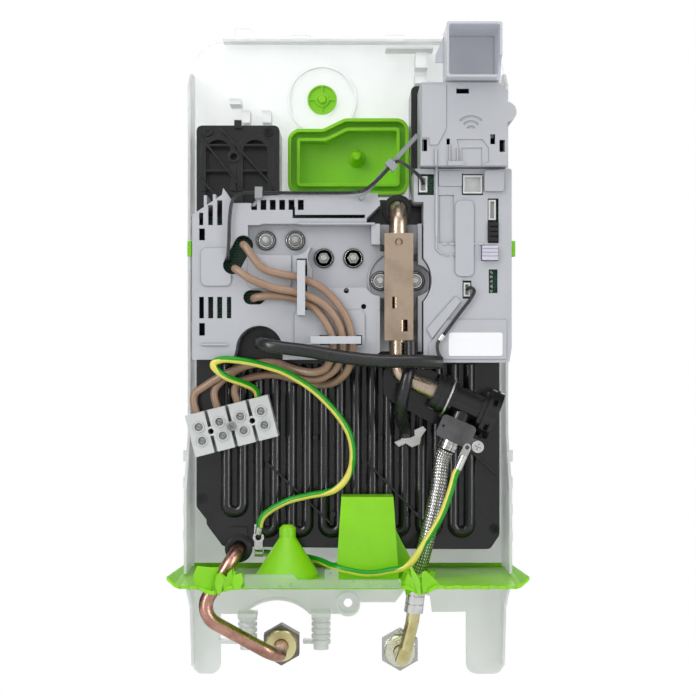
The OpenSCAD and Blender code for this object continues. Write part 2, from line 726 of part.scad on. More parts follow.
panel_top_shares = [[-0.467,0.193],[-0.378,0.222],[-0.374,0.232],[-0.351,0.2155],[-0.343,0.21],[-0.285,0.21],
 [-0.27,0.22],[-0.1,0.224],[0.088,0.224],[0.098,0.208],[0.056,0.188],[0.056,0.18],[0.2215,0.18]];
panel_bottom_shares = [[0.2215,-0.005],[0.1,-0.005],[0.06,-0.017],[-0.196,-0.017],[-0.196,-0.0015],
 [-0.336,-0.0015],[-0.345,-0.017],[-0.467,-0.017]];
spike_shares = [[-0.432,-0.4235,0.19,0.2212],[-0.405,-0.396,0.19,0.2225]];
trough_floor = 71;
recess_shares = [[-0.3,0.07,0.146,0.178],[-0.108,0.1,0.0875,0.15]];
stud_lobe_r = 11;
vent_shares = [[-0.446,-0.434,0.178,0.196],[-0.419,-0.405,0.178,0.207],[-0.392,-0.377,0.178,0.214],
 [-0.446,-0.429,0.156,0.173],[-0.446,-0.432,0.043,0.074],[-0.419,-0.404,0.043,0.074],
 [-0.392,-0.377,0.043,0.074],[-0.363,-0.35,0.043,0.074],[-0.446,-0.429,0.018,0.036],
 [-0.166,-0.159,0.19,0.204],[-0.166,0.051,0.188,0.193],[-0.1535,-0.1225,0.055,0.1295],
 [-0.085,0.042,0.0045,0.0185]];
comb_share = [-0.29,0.2];
comb_step_share = 0.028;
comb_count = 6;
comb_w = 4;
comb_h = 7;
wire_hole_shares = [[[-0.314,0.15],[-0.347,0.12]],[[-0.292,0.0735],[-0.27,0.0735]]];
wire_hole_rs = [6.3,5];
notch_share = [-0.266,-0.0015];
notch_r = 16.2;
step_shares = [[-0.16,0.05,0.0,0.055],[-0.44,-0.35,0.09,0.145],[-0.3,-0.17,0.086,0.14]];
step_h = 1.6;
step_r = 4;
pin_shares = [[-0.005,0.083],[0.047,0.06]];
ridge_shares = [[[-0.44,0.005],[-0.36,0.005]],[[-0.15,0.18],[0.08,0.18]]];
latch_z_shares = [0.135,0.157];
latch_at = 58;
latch_l = 10;
tongue_h = 6;
latch_head = 4.6;
tongue_t = 5;
power_share = [-0.42,0.044,0.042,0.195];
relay_shares = [[-0.38,-0.3,0.165,0.188],[-0.2,-0.1,0.05,0.08],[-0.05,0.03,0.05,0.08]];
relay_h = 7;
circle_boss_share = [cold_x_share, 0.098];
circle_boss_r = 22;

module stud_lobes(grow) {
 for (i = [0,2,4]) stadium(stud_spots[i], stud_spots[i + 1], stud_lobe_r + grow);
}

module panel_outline() {
 difference() {
  polygon([for (s = concat(panel_top_shares, panel_bottom_shares)) spot(s)]);
  disc(notch_share, notch_r);
 }
 disc(circle_boss_share, circle_boss_r);
 for (s = spike_shares) rect(span(s));
}

module recess_outline(grow) {
 stud_lobes(grow);
 for (s = recess_shares) {
  b = span(s);
  rect([b[0] - grow, b[1] + grow, b[2] - grow, b[3] + grow]);
 }
 c = spot([cold_x_share, 0]);
 rect([c[0] - sink_w / 2 - web - grow, c[0] + sink_w / 2 + web + gap + grow, -case_h * 0.1, case_h * 0.3]);
}

module trough_outline(grow) {
 c = spot([cold_x_share, 0]);
 rect([c[0] - cold_bore_r - grow, c[0] + cold_bore_r + grow, -case_h * 0.1, case_h * 0.3]);
}

module electronics_panel() color(grey) {
 difference() {
  union() {
   face(block_front, panel_front) panel_outline();
   for (s = step_shares) face(panel_front - gap, panel_front + step_h) round_rect(span(s), step_r);
   for (s = ridge_shares) face(panel_front - gap, panel_front + step_h) bar(spot(s[0]), spot(s[1]), brace_w);
  }
  // hollow behind the front wall, shallower behind the recesses
  face(block_front - over, panel_front - skin) difference() {
   offset(delta = -skin) panel_outline();
   recess_outline(skin);
  }
  face(block_front - over, panel_recess - skin) difference() {
   offset(delta = -skin) panel_outline();
   trough_outline(skin);
  }
  face(block_front - over, trough_floor - skin) offset(delta = -skin) panel_outline();
  face(panel_recess, panel_front + step_h + over) recess_outline(0);
  face(trough_floor, panel_front) trough_outline(0);
  for (p = stud_spots) peg(p, block_front, panel_front, ring_r + gap);
  for (s = vent_shares) block3(span(s), panel_front - 2 * skin, panel_front + 2 * step_h);
  for (i = [0:comb_count - 1]) {
   c = spot(comb_share + [i * comb_step_share, 0]);
   block3([c[0], c[0] + comb_w, c[1], c[1] + comb_h], panel_front - 2 * skin, panel_front + over);
  }
  for (i = [0,1]) face(panel_recess - 2 * skin, panel_front + 2 * step_h)
   stadium(spot(wire_hole_shares[i][0]), spot(wire_hole_shares[i][1]), wire_hole_rs[i]);
  for (s = pin_shares) peg(spot(s), panel_front - 2 * skin, panel_front + over, peg_r);
  latch_slot(-1);
 }
 // raised ring round the lower terminals, cut where the recess runs
 face(panel_recess - gap, panel_recess + step_h) difference() {
  disc(circle_boss_share, circle_boss_r - gap);
  disc(circle_boss_share, circle_boss_r - brace_w);
  difference() {
   rect([-case_w, case_w, -case_h, case_h]);
   recess_outline(-gap);
  }
  trough_outline(0);
 }
}

// The slot through the panel's or the carrier's skirt that guides a latch's tongue
module latch_slot(side) {
 z = (latch_z_shares[0] + latch_z_shares[1]) * case_h / 2;
 d = latch_at + latch_l / 2;
 edge = side < 0 ? -panel_span[0] : carrier_edge;
 translate([side * edge, -d, z])
  cube([4 * skin, tongue_t + 2 * run_gap, tongue_h + 2 * run_gap], center = true);
}

module latch(side) {
 z = [latch_z_shares[0] * case_h, latch_z_shares[1] * case_h];
 d = latch_at + latch_l / 2;
 edge = (side < 0 ? -panel_span[0] : carrier_edge) + run_gap;
 head = latch_head;
 mid = (z[0] + z[1]) / 2;
 mirror([side < 0 ? 1 : 0, 0, 0]) {
  block3([edge, edge + head, z[0], z[1]], latch_at, latch_at + latch_l);
  block3([edge + head / 3, edge + head * 0.8, z[0], z[1]],
   latch_at + latch_l - gap, latch_at + latch_l + head / 2);
  translate([edge - latch_travel - 2 * skin, -d - tongue_t / 2, mid - tongue_h / 2])
   cube([latch_travel + 2 * skin + over, tongue_t, tongue_h]);
 }
}

module latch_left() color(lime) latch(-1);
module latch_right() color(lime) latch(1);

module board_chips(shares, d, h) {
 for (s = shares) block3(span(s), d, d + h);
}

module power_board() color(board_green) difference() {
 d = block_front + board_post_h;
 union() {
  block3(span(power_share), d, d + board_t);
  board_chips(relay_shares, d, relay_h);
 }
 for (p = stud_spots) peg(p, d - over, d + board_t + over, ring_r + gap);
}

// Straps for the leads, each standing on one foot and dipping into its slot at the other end
strap_v_share = [-0.151,-0.127,0.047,0.126];
strap_h_share = [-0.111,0.039,0.006,0.017];
strap_t = 2.4;
strap_lift = 10.8;

module cable_straps() color(grey) {
 v = span(strap_v_share);
 h = span(strap_h_share);
 foot = v[1] - v[0];
 block3(v, panel_front + strap_lift, panel_front + strap_lift + strap_t);
 block3([v[0], v[1], v[2], v[2] + foot / 2], panel_front + step_h, panel_front + strap_lift + strap_t);
 block3([v[0], v[1], v[3] - foot / 2, v[3]], panel_front - skin, panel_front + strap_lift + strap_t);
 block3([h[1] - foot / 2, h[1], h[2], h[3]], panel_front - skin, panel_front + step_h + strap_lift + strap_t);
 block3(h, panel_front + step_h + strap_lift, panel_front + step_h + strap_lift + strap_t);
 block3([h[0], h[0] + foot, h[2], h[3]], panel_front + step_h, panel_front + step_h + strap_lift + strap_t);
}

carrier_shares = [[0.225,-0.021],[0.48,-0.021],[0.487,0.0],[0.487,0.258],[0.196,0.258],[0.196,0.21],
 [0.225,0.21]];
carrier_edge = 0.487 * case_w;
control_board_share = [0.262,0.472,0.0,0.25];
control_board_low_share = [0.208,0.27,0.218,0.25];
pad_share = [0.319,0.374,0.103,0.212];
window_shares = [[0.339,0.401,0.22,0.25],[0.416,0.448,0.151,0.215],[0.419,0.445,0.079,0.113],
 [0.341,0.367,0.071,0.097],[0.208,0.256,0.22,0.25]];
reset_share = [0.398,0.445,0.126,0.147];
post_shares = [[0.275,0.02],[0.46,0.02],[0.275,0.235],[0.46,0.235]];
flag_share = [0.27,0.34,0.2325,0.2545];
dent_share = [0.271,0.315,0.151,0.22];
low_shares = [[0.24,-0.016],[0.24,0.004],[0.294,0.041],[0.472,0.041],[0.472,-0.016]];
ramp_shares = [[0.234,0.0275],[0.32,0.0745],[0.336,0.0675],[0.25,0.0135]];
bead_shares = [[[0.263,0.256],[0.263,0.142]],[[0.263,0.142],[0.28,0.135]],
 [[0.288,0.134],[0.302,0.134]],[[0.312,0.134],[0.326,0.134]],[[0.336,0.134],[0.35,0.134]],
 [[0.36,0.134],[0.374,0.134]]];
corner_share = [0.405,0.463,0.225,0.255];
board_gap = 6.2;
board_d = carrier_front - skin - board_gap - board_t;

module carrier_outline() {
 offset(r = step_h) offset(delta = -step_h) difference() {
  shape(carrier_shares);
  disc(circle_boss_share, circle_boss_r + 2 * gap);
 }
}

module control_carrier() color(grey) {
 difference() {
  union() {
   difference() {
    face(block_front, carrier_front) carrier_outline();
    face(block_front - over, carrier_front - skin) offset(delta = -skin) carrier_outline();
   }
   for (s = post_shares) peg(spot(s), board_d + board_t, carrier_front - skin + gap, post_r);
   face(carrier_front - gap, carrier_front + step_h) round_rect(span(pad_share), step_r);
   for (s = bead_shares) face(carrier_front - gap, carrier_front + step_h / 2)
    bar(spot(s[0]), spot(s[1]), brace_w);
   face(carrier_front - gap, carrier_front + step_h / 2) {
    round_rect(span(flag_share), step_h);
    shape(low_shares);
   }
   face(carrier_front - gap, carrier_front + step_h) shape(ramp_shares);
   face(carrier_front - gap, carrier_front + 2 * step_h) round_rect(span(corner_share), step_h);
  }
  face(carrier_front - skin / 2, carrier_front + over) difference() {
   rect(span(dent_share));
   for (s = bead_shares) bar(spot(s[0]), spot(s[1]), brace_w);
  }
  for (s = window_shares) block3(span(s), carrier_front - 2 * skin, carrier_front + 3 * step_h);
  b = span(reset_share);
  block3([b[0] - run_gap, b[1] + run_gap, b[2] - run_gap, b[3] + run_gap],
   carrier_front - 2 * skin, carrier_front + step_h);
  latch_slot(1);
 }
}

module control_board() color(board_green) {
 face(board_d, board_d + board_t) {
  rect(span(control_board_share));
  rect(span(control_board_low_share));
 }
}

jst_share = [0.211,0.236,0.224,0.247];
socket_share = [0.342,0.399,0.222,0.248];
header_share = [0.418,0.44,0.184,0.213];
sensor_plug_share = [0.344,0.364,0.074,0.094];
coding_share = [0.417,0.446,0.153,0.181];
pin_z_shares = [0.082,0.089,0.096,0.103,0.11];
pin_x_share = 0.428;
pin_r = 0.9;
socket_lip = 1.2;

module socket(s, h) {
 b = span(s);
 d = board_d + board_t;
 difference() {
  block3(b, d, d + h);
  block3([b[0] + socket_lip, b[1] - socket_lip, b[2] + socket_lip, b[3] - socket_lip],
   d + h / 2, d + h + over);
 }
}

module board_connectors() color(pale) {
 socket(jst_share, board_gap + skin);
 socket(socket_share, board_gap + skin + step_h);
 socket(header_share, board_gap + skin);
 socket(sensor_plug_share, board_gap + skin);
 for (z = pin_z_shares) peg(spot([pin_x_share, z]), board_d + board_t, board_d + board_t + board_gap / 2, pin_r);
}

module coding_plug() color(black) {
 b = span(coding_share);
 d = board_d + board_t;
 difference() {
  block3(b, d, carrier_front + step_h);
  for (i = [1:3]) block3([b[0] + socket_lip, b[1] + over, b[2] + i * (b[3] - b[2]) / 4 - socket_lip / 2,
   b[2] + i * (b[3] - b[2]) / 4 + socket_lip / 2], carrier_front - skin, carrier_front + 2 * step_h);
 }
}

// The switch stands on the board, and the button's foot stays behind the carrier's wall
button_foot = 1.5;
button_up = 4;

module reset_button() color([0.75,0.75,0.79]) {
 b = span(reset_share);
 back = carrier_front - skin - gap - button_foot;
 difference() {
  union() {
   block3(b, back, carrier_front + button_up);
   block3([b[0] - button_foot, b[1] + button_foot, b[2] - button_foot, b[3] + button_foot],
    back, back + button_foot);
  }
  for (i = [1:3]) block3([b[0] - over, b[1] + over, b[2] + i * (b[3] - b[2]) / 4,
   b[2] + i * (b[3] - b[2]) / 4 + socket_lip / 2], carrier_front + button_up - socket_lip / 2,
   carrier_front + button_up + over);
 }
}

module reset_switch() color(black) {
 b = span(reset_share);
 top = carrier_front - skin - gap - button_foot - reset_travel - gap;
 inset = (b[1] - b[0]) / 4;
 block3([b[0] + inset, b[1] - inset, b[2] + inset, b[3] - inset], board_d + board_t, top);
}

radio_share = [0.214,0.47,0.2595,0.378];
radio_bump_share = [0.466,0.336];
bump_r = 7;
radio_window_shares = [[0.319,0.356,0.362,0.369],[0.218,0.233,0.28,0.297],[0.419,0.433,0.29,0.304],
 [0.446,0.462,0.279,0.296],[0.29,0.3,0.2895,0.298]];
radio_trap_shares = [[0.32,0.297],[0.395,0.297],[0.415,0.285],[0.415,0.265],[0.39,0.2595],[0.335,0.2595]];
radio_step_shares = [[0.335,0.285],[0.395,0.285],[0.395,0.2595],[0.335,0.2595]];
radio_strip_shares = [[0.217,0.375],[0.289,0.375],[0.289,0.312],[0.264,0.289],[0.24,0.289],[0.24,0.299],
 [0.217,0.299]];
radio_bar_shares = [[0.294,0.34,0.2595,0.266],[0.297,0.301,0.266,0.289],[0.32,0.324,0.266,0.285],
 [0.255,0.262,0.2595,0.283]];
radio_chamfer = 6;
arc_share = [0.362,0.308];
module_share = [0.25,0.43,0.3,0.36];
arc_rs = [4,7.5,11];

module radio_outline() {
 b = span(radio_share);
 polygon([[b[0], b[2]], [b[1], b[2]], [b[1], b[3] - radio_chamfer], [b[1] - radio_chamfer, b[3]], [b[0], b[3]]]);
 disc(radio_bump_share, bump_r);
}

module radio_cover() color(grey) difference() {
 union() {
  difference() {
   face(block_front, radio_front) radio_outline();
   face(block_front - over, radio_front - skin) offset(delta = -skin) radio_outline();
  }
  // shelf that carries the radio module
  b = span(module_share);
  for (x = [b[0], b[1] - 2 * post_r])
   block3([x, x + 2 * post_r, b[2], b[3]], radio_front - skin - board_post_h, radio_front - skin + gap);
  for (s = radio_bar_shares) block3(span(s), radio_front - gap, radio_front + step_h);
  face(radio_front - gap, radio_front + step_h / 2) shape(radio_strip_shares);
 }
 for (s = radio_window_shares) block3(span(s), radio_front - 2 * skin, radio_front + over);
 face(radio_front - skin / 3, radio_front + over) shape(radio_trap_shares);
 face(radio_front - 2 * skin / 3, radio_front + over) shape(radio_step_shares);
 for (r = arc_rs) face(radio_front - skin / 4, radio_front + over) translate(spot(arc_share)) difference() {
  circle(r);
  circle(r - brace_w);
  for (a = [-45,225]) rotate(a) translate([0, -2 * r]) square([2 * r, 4 * r]);
  translate([-2 * r, -2 * r]) square([4 * r, 2 * r]);
 }
}

module radio_module() color(board_green) {
 d = radio_front - skin - board_post_h;
 block3(span(module_share), d - board_t, d);
 b = span(module_share);
 block3([b[0] + 3 * post_r, b[1] - 3 * post_r, b[2] + post_r, b[3] - post_r], d, d + post_r);
}

display_share = [0.287,0.449,0.381,0.459];
box_skin = 1.6;
display_leg_share = [0.33,0.41,0.41,0.455];
gusset_shares = [[0.262,0.424],[0.288,0.452],[0.288,0.413],[0.262,0.413]];

module display_box() color(grey) {
 b = span(display_share);
 floor_d = display_front - display_bay;
 difference() {
  face(floor_d - box_skin, display_front) round_rect(b, box_skin);
  face(floor_d, display_front + over)
   round_rect([b[0] + box_skin, b[1] - box_skin, b[2] + box_skin, b[3] - box_skin], box_skin);
  // round cut at the lower right of the front edge
  translate([b[1], -display_front, b[2]]) rotate([0,90,0])
   cylinder(r = display_bay / 3, h = 4 * box_skin, center = true);
 }
 face(floor_d + board_post_h, floor_d + board_post_h + box_skin) shape(gusset_shares);
 // hollow leg down to the shell
 difference() {
  block3(span(display_leg_share), wall, floor_d - box_skin + gap);
  l = span(display_leg_share);
  block3([l[0] + box_skin, l[1] - box_skin, l[2] + box_skin, l[3] + over],
   wall - over, floor_d - 2 * box_skin);
 }
}

// Strut that carries the thin leads from the carrier to the panel
strut_shares = [[0.036,0.215],[0.2075,0.307]];
strut_d = [88,90.4];

module strut() color(pale) {
 a = spot(strut_shares[0]);
 b = spot(strut_shares[1]);
 face(strut_d[0], strut_d[1]) bar(a, b, web);
 face(panel_front, strut_d[0] + gap) bar(a, a + unit(b - a) * web, web);
}

// Cold water path

cold_spot = spot([cold_x_share, cold_top_share]);
cold_path = [[cold_spot[0], -block_front, cold_spot[1]], [cold_spot[0], -pipe_d, cold_spot[1]],
 [cold_spot[0], -pipe_d, flow_line_z(cold_spot[0])], flow_point(0)];
cold_bend = 14;
flow_l = 46;
collar_r = 12.9;
collar_l = 14;
cap_l = 9;
flow_wall = 2;
branch_r = 8.6;
cradle_shares = [[0.118,-0.036],[0.118,-0.066],[0.144,-0.077],[0.262,-0.108],[0.345,-0.108],
 [0.345,-0.06],[0.25,-0.036]];
flange = 22;
gland_r = 10.5;
gland_h = 14;

function flow_dir() = [cos(flow_tilt), 0, -sin(flow_tilt)];
function flow_point(s) = [flow_share[0] * case_w, -pipe_d, flow_share[1] * case_h] + s * flow_dir();
function flow_line_z(x) = flow_share[1] * case_h - (x - flow_share[0] * case_w) * tan(flow_tilt);
function branch_dir() = [-sin(flow_tilt), 0, -cos(flow_tilt)];
function branch_point(s) = flow_point(branch_at) + s * branch_dir();

module along_flow(s) {
 translate(flow_point(s)) rotate([0, 90 + flow_tilt, 0]) children();
}

module along_branch(s) {
 translate(branch_point(s)) rotate([0, 180 + flow_tilt, 0]) children();
}

module cold_gland() color(black) {
 difference() {
  peg(cold_spot, block_front, block_front + gland_h, gland_r);
  peg(cold_spot, block_front - over, block_front + gland_h + over, cold_bore_r);
  peg(cold_spot, block_front + gland_h / 2, block_front + gland_h * 0.75, gland_r - over);
 }
 difference() {
  peg(cold_spot, block_front + gland_h, block_front + gland_h + web, gland_r - web / 2);
  peg(cold_spot, block_front + gland_h - over, block_front + gland_h + 2 * web, cold_bore_r);
 }
}

module cold_pipe() color(bronze) pipe(cold_path, cold_pipe_r, cold_bend);

sink_w = 20;
sink_share = [0.011,0.166];
sink_t = 2;
sink_back = pipe_d + cold_pipe_r + gap;
sink_slot_shares = [[0.132,0.145,0.057,0.074],[0.161,0.178,0.024,0.041]];
sink_hole_share = [0.152,0.153];
sink_hole_r = 2.6;
triac_left_shares = [[0.14,0.15],[0.056,0.072]];
triac_right_shares = [[0.126,0.136],[0.024,0.04]];
triac_w = 5.4;
triac_t = 4.5;

module heat_sink_plate() color(bronze) difference() {
 c = cold_spot[0];
 union() {
  face(sink_back, sink_back + sink_t)
   rect([c - sink_w / 2, c + sink_w / 2, sink_share[0] * case_h, sink_share[1] * case_h]);
  // folded side edges
  for (x = [c - sink_w / 2, c + sink_w / 2 - over])
   block3([x, x + over, sink_share[0] * case_h, sink_share[1] * case_h],
    sink_back - sink_t, sink_back + gap);
 }
 for (s = sink_slot_shares) block3(span(s), sink_back - over, sink_back + sink_t + over);
 peg(spot(sink_hole_share), sink_back - over, sink_back + sink_t + over, sink_hole_r);
}

module triacs() color(black) {
 c = cold_spot[0];
 back = sink_back - sink_t - gap;
 for (s = triac_left_shares)
  block3([c - sink_w / 2 - web, c - sink_w / 2 - web + triac_w, s[0] * case_h, s[1] * case_h],
   back - triac_t, back);
 for (s = triac_right_shares)
  block3([c + sink_w / 2 + web - triac_w, c + sink_w / 2 + web, s[0] * case_h, s[1] * case_h],
   back - triac_t, back);
}

module flow_body() color(black) difference() {
 union() {
  along_flow(0) cylinder(r = collar_r, h = collar_l);
  along_flow(collar_l / 3) cylinder(r = collar_r + over, h = collar_l / 4);
  along_flow(collar_l - over) cylinder(r = flow_r, h = flow_l - web - gap - collar_l + over);
  along_flow(flow_l - cap_l - web) cylinder(r = cap_r - web, h = web);
  along_branch(0) cylinder(r = branch_r, h = branch_l);
  // flange that the clamp plate is screwed to, with the screw's ear
  on_clamp() {
   face(pipe_d - flange / 2, plate_d) rect([-flange / 2, flange / 2, -plate_h / 3, plate_h / 3]);
   peg(clamp_ear, pipe_d, plate_d, head_r + over);
   face(pipe_d, plate_d) rect([0, clamp_ear[0], clamp_ear[1] - over, -plate_h / 8]);
  }
  // plate on the heater block that carries the body on a foot
  face(rib_front, rib_front + skin)
   offset(r = skin) shape(cradle_shares);
  translate([flow_point(flow_l / 2)[0], -block_front - rib_r - skin, flow_point(flow_l / 2)[2]]) rotate([90,0,0])
   cylinder(r = 2 * web, h = pipe_d - block_front - rib_r - flow_r + web);
 }
 along_flow(-over) cylinder(r = cold_bore_r, h = collar_l / 2 + over);
 along_flow(collar_l / 2) cylinder(r = flow_r - flow_wall, h = flow_l);
 along_branch(0) cylinder(r = branch_r - flow_wall, h = branch_l + over);
}

module flow_spring_clip() color(steel) along_flow(collar_l * 0.72) difference() {
 cylinder(r = collar_r + 2 * socket_lip, h = socket_lip);
 translate([0, 0, -over]) cylinder(r = collar_r + gap, h = 2 * over + socket_lip);
 translate([-collar_r * 2, -collar_r * 0.5, -over]) cube([collar_r * 2, collar_r, 2 * over + socket_lip]);
}

turbine_r = 7.4;
turbine_l = 6;
blades = 5;
hub_r = 2.6;
axle_r = 0.8;
turbine_at = 34;
cap_hub_at = turbine_at + turbine_l * 1.1;

module flow_turbine() color(pale) along_flow(turbine_at) {
 cylinder(r = hub_r, h = turbine_l);
 for (i = [0:blades - 1]) rotate(i * 360 / blades)
  translate([hub_r / 2, -axle_r / 2, over / 2]) cube([turbine_r - hub_r / 2, axle_r, turbine_l - over]);
 translate([0, 0, -turbine_l / 2]) cylinder(r = axle_r, h = 2 * turbine_l);
}

// The filter's hub and the cap's hub carry the two ends of the turbine's axle
module spider(t, ring_l) {
 difference() {
  union() {
   difference() {
    cylinder(r = flow_r - flow_wall - gap, h = ring_l);
    translate([0, 0, -over]) cylinder(r = flow_r - flow_wall - gap - over, h = ring_l + 2 * over);
   }
   cylinder(r = hub_r, h = t);
   for (a = [0:60:179]) rotate(a) translate([over - flow_r + flow_wall, -axle_r / 2, 0])
    cube([2 * (flow_r - flow_wall - over), axle_r, t]);
  }
  translate([0, 0, -over]) cylinder(r = axle_r + gap / 6, h = t + 2 * over);
 }
}

module inlet_filter() color(steel) along_flow(turbine_at - turbine_l / 2) spider(turbine_l / 3, turbine_l / 3);

windows = 6;

module flow_cap() color(black) {
 along_flow(flow_l - cap_l) difference() {
  union() {
   cylinder(r = cap_r, h = cap_l);
   for (i = [0:windows - 1]) rotate(i * 360 / windows + 30)
    translate([cap_r - over, -over, cap_l / 3]) cube([2 * over + web / 2, 2 * over, 2 * over]);
  }
  translate([0, 0, -over]) cylinder(r = flow_r + gap, h = cap_l - web + over);
  // windows round the rim
  for (i = [0:windows - 1]) rotate(i * 360 / windows)
   translate([flow_r + web, -web, cap_l / 3]) cube([cap_r, 2 * web, cap_l / 3]);
  translate([0, 0, cap_l - over]) cylinder(r = flow_r, h = 2 * over);
 }
 along_flow(cap_hub_at) spider(turbine_l / 3, flow_l - web / 2 - cap_hub_at);
}

plate_w = 25;
plate_h = 16;
plate_d = pipe_d + flange / 2;
clamp_t = 2;
clamp_ear = [plate_w / 2 + plate_h / 3, -plate_h / 4];

function clamp_spot() = branch_point(branch_l - plate_h / 3);

module on_clamp() {
 p = clamp_spot();
 translate([p[0], 0, p[2]]) rotate([0, flow_tilt, 0]) children();
}

module clamp_plate() color([0.42,0.42,0.43]) on_clamp() difference() {
 face(plate_d, plate_d + clamp_t) {
  round_rect([-plate_w / 2, plate_w / 2, -plate_h / 2, plate_h / 2], web);
  stadium([0, clamp_ear[1]], clamp_ear, head_r + over);
 }
 peg(clamp_ear, plate_d - over, plate_d + clamp_t + over, screw_r + gap);
 peg([web - plate_w / 2, 0], plate_d - over, plate_d + clamp_t + over, over);
}

module clamp_screw() color(steel) on_clamp() difference() {
 p = clamp_ear;
 union() {
  peg(p, plate_d, plate_d + clamp_t, screw_r);
  peg(p, plate_d + clamp_t, plate_d + clamp_t + head_h, head_r + over);
 }
 face(plate_d + clamp_t + head_h / 2, plate_d + clamp_t + head_h + over) for (a = [0,90])
  translate(p) rotate(a) square([head_r * 1.4, head_r / 4], center = true);
}

// Braided hose, its ferrules and the elbow in the cold nut

cold_nut_share = [0.165,-0.463];
ferrule_r = 6.6;
nut_back = 8;
nut_step = 9;
elbow_bend = 13;
collar_t = 2;

module inlet_hose() color(steel) lead(hose_route, hose_r, 12, 4);

module hose_ferrules() color(steel) {
 for (e = [[branch_point(branch_l), hose_route[0]], [elbow_top, hose_end]])
  towards(e[0] + unit(e[1] - e[0]) * gap, e[1]) difference() {
   cylinder(r = ferrule_r, h = norm(e[1] - e[0]) - 4 * gap);
   for (k = [1,2]) translate([0, 0, k * norm(e[1] - e[0]) / 3]) difference() {
    cylinder(r = ferrule_r + over, h = over);
    translate([0, 0, -over]) cylinder(r = ferrule_r - over / 2, h = 3 * over);
   }
  }
}

elbow_d = 66;
elbow_knee = elbow_top + unit(elbow_top - hose_end) * elbow_bend / 2;
elbow_path = [elbow_top, elbow_knee, at(cold_nut_share, elbow_d), at(cold_nut_share, nut_back + nut_step)];

module cold_elbow() color(brass) {
 pipe(elbow_path, elbow_r, elbow_bend);
 nut_collar(cold_nut_share, elbow_r);
}

module nut_collar(s, r) {
 c = spot(s);
 difference() {
  peg(c, nut_back + nut_step, nut_back + nut_step + collar_t, thread_r - gap);
  peg(c, nut_back + nut_step - over, nut_back + nut_step + collar_t + over, r - pipe_wall / 2);
 }
}

module union_nut(s, r) {
 c = spot(s);
 lip = nut_back + nut_step + collar_t + gap;
 difference() {
  union() {
   translate([c[0], -nut_back, c[1]]) rotate([90,0,0]) rotate(30)
    cylinder(r = nut_af / sqrt(3), h = nut_l * 0.7, $fn = 6);
   peg(c, nut_back + nut_l / 2, nut_back + nut_l, nut_af / 2 - gap, nut_af / 2 - 2 * over);
  }
  peg(c, nut_back - over, lip, thread_r);
  peg(c, nut_back + nut_step - rubber - gap, lip, thread_r + run_gap);
  peg(c, lip - over, nut_back + nut_l + over, r + run_gap);
  peg(c, nut_back - over, nut_back + over, thread_r + over, thread_r);
 }
}

module cold_nut() color(steel) union_nut(cold_nut_share, elbow_r);
module hot_nut() color(brass) union_nut(hot_nut_share, hot_pipe_r);

module nut_gaskets() color(black) for (s = [cold_nut_share, hot_nut_share]) difference() {
 peg(spot(s), nut_back + nut_step - rubber, nut_back + nut_step, thread_r - gap);
 peg(spot(s), nut_back, nut_back + nut_step + over, thread_r - rubber - over);
}

hot_path = [hot_top + [0, hot_gland_d - block_front - web - gap, 0], hot_top, hot_corner,
 at(hot_nut_share, hot_gland_d), at(hot_nut_share, nut_back + nut_step)];
hot_bend = 14;
hot_gland_r = 9.8;

module hot_gland() color(black) difference() {
 c = [hot_top[0], hot_top[2]];
 union() {
  peg(c, block_front, block_front + 2 * web, hot_gland_r);
  peg(c, block_front + web, block_front + 3 * web, hot_gland_r - socket_lip);
  // foot on the heater block
  block3([c[0] - 2 * web, c[0] + 2 * web, c[1] + web, c[1] + 5 * web], block_front, block_front + web);
 }
 peg(c, block_front + web, block_front + web + 1.5 * over, hot_pipe_r + gap);
 peg(c, block_front + web + over, block_front + 4 * web, hot_pipe_r + 2 * over);
}

module hot_pipe() color(copper) {
 pipe(hot_path, hot_pipe_r, hot_bend);
 nut_collar(hot_nut_share, hot_pipe_r);
}

// Earth connection

lug_r = 3;
long_end = on_case([[-62.8,-59.8,-127]])[0];
// The short lead's crimp runs up to the clamp plate
lug_drop = [0.7,-26.4];
lug_run = [4.3,9.5];
short_end = [clamp_spot()[0] + lug_drop[0], -plate_d - clamp_t - lug_r, clamp_spot()[2] + lug_drop[1]];

earth_tab_share = [-0.288,-0.262,-0.2995,-0.262];
tab_t = 1;
tab_hole_r = 2.2;

module earth_tab() color(steel) difference() {
 b = span(earth_tab_share);
 union() {
  block3(b, rib_front, rib_front + tab_t);
  block3([b[0], b[1], b[2], b[2] + tab_t], block_front - rib_r * 2, rib_front + tab_t);
 }
 peg(middle(earth_tab_share), block_front, block_front + 3 * rib_r, tab_hole_r);
}

module earth_lugs() color(steel) {
 m = middle(earth_tab_share);
 d = rib_front + tab_t;
 difference() {
  union() {
   peg(m, d, d + tab_t, lug_r + over);
   towards(long_end + [0, 0, -gap], [m[0], -d - lug_r, m[1]])
    cylinder(r = lug_r - gap, h = norm(long_end - [m[0], -d - lug_r, m[1]]) - lug_r);
  }
  peg(m, d - over, d + tab_t + over, tab_hole_r);
 }
 // the short lead's barrels: one under the tab, one on the clamp plate
 b = span(earth_tab_share);
 translate([b[0], -block_front + lug_r, b[2] - gap - lug_r]) rotate([0,90,0])
  cylinder(r = lug_r - gap, h = b[1] - b[0] - gap);
 e = [short_end[0], short_end[2]];
 towards(short_end + gap * unit([lug_run[0], 0, lug_run[1]]), short_end + [lug_run[0], 0, lug_run[1]])
  cylinder(r = lug_r - gap, h = norm(lug_run));
 face(plate_d + clamp_t, plate_d + clamp_t + tab_t) difference() {
  stadium(e + lug_run * 0.7, e + lug_run * 1.6, lug_r - gap);
  translate(e + lug_run * 1.6) circle(lug_r / 2);
 }
}

// Terminal block for the mains supply

tb_share = [-0.352,-0.114];
tb_back = rib_front;
poles = 4;
tb_slot_w = 2.4;
tb_top_r = 2.6;
tb_fix_r = 2;
tb_bore_d = tb_back + tb_d * 0.45;

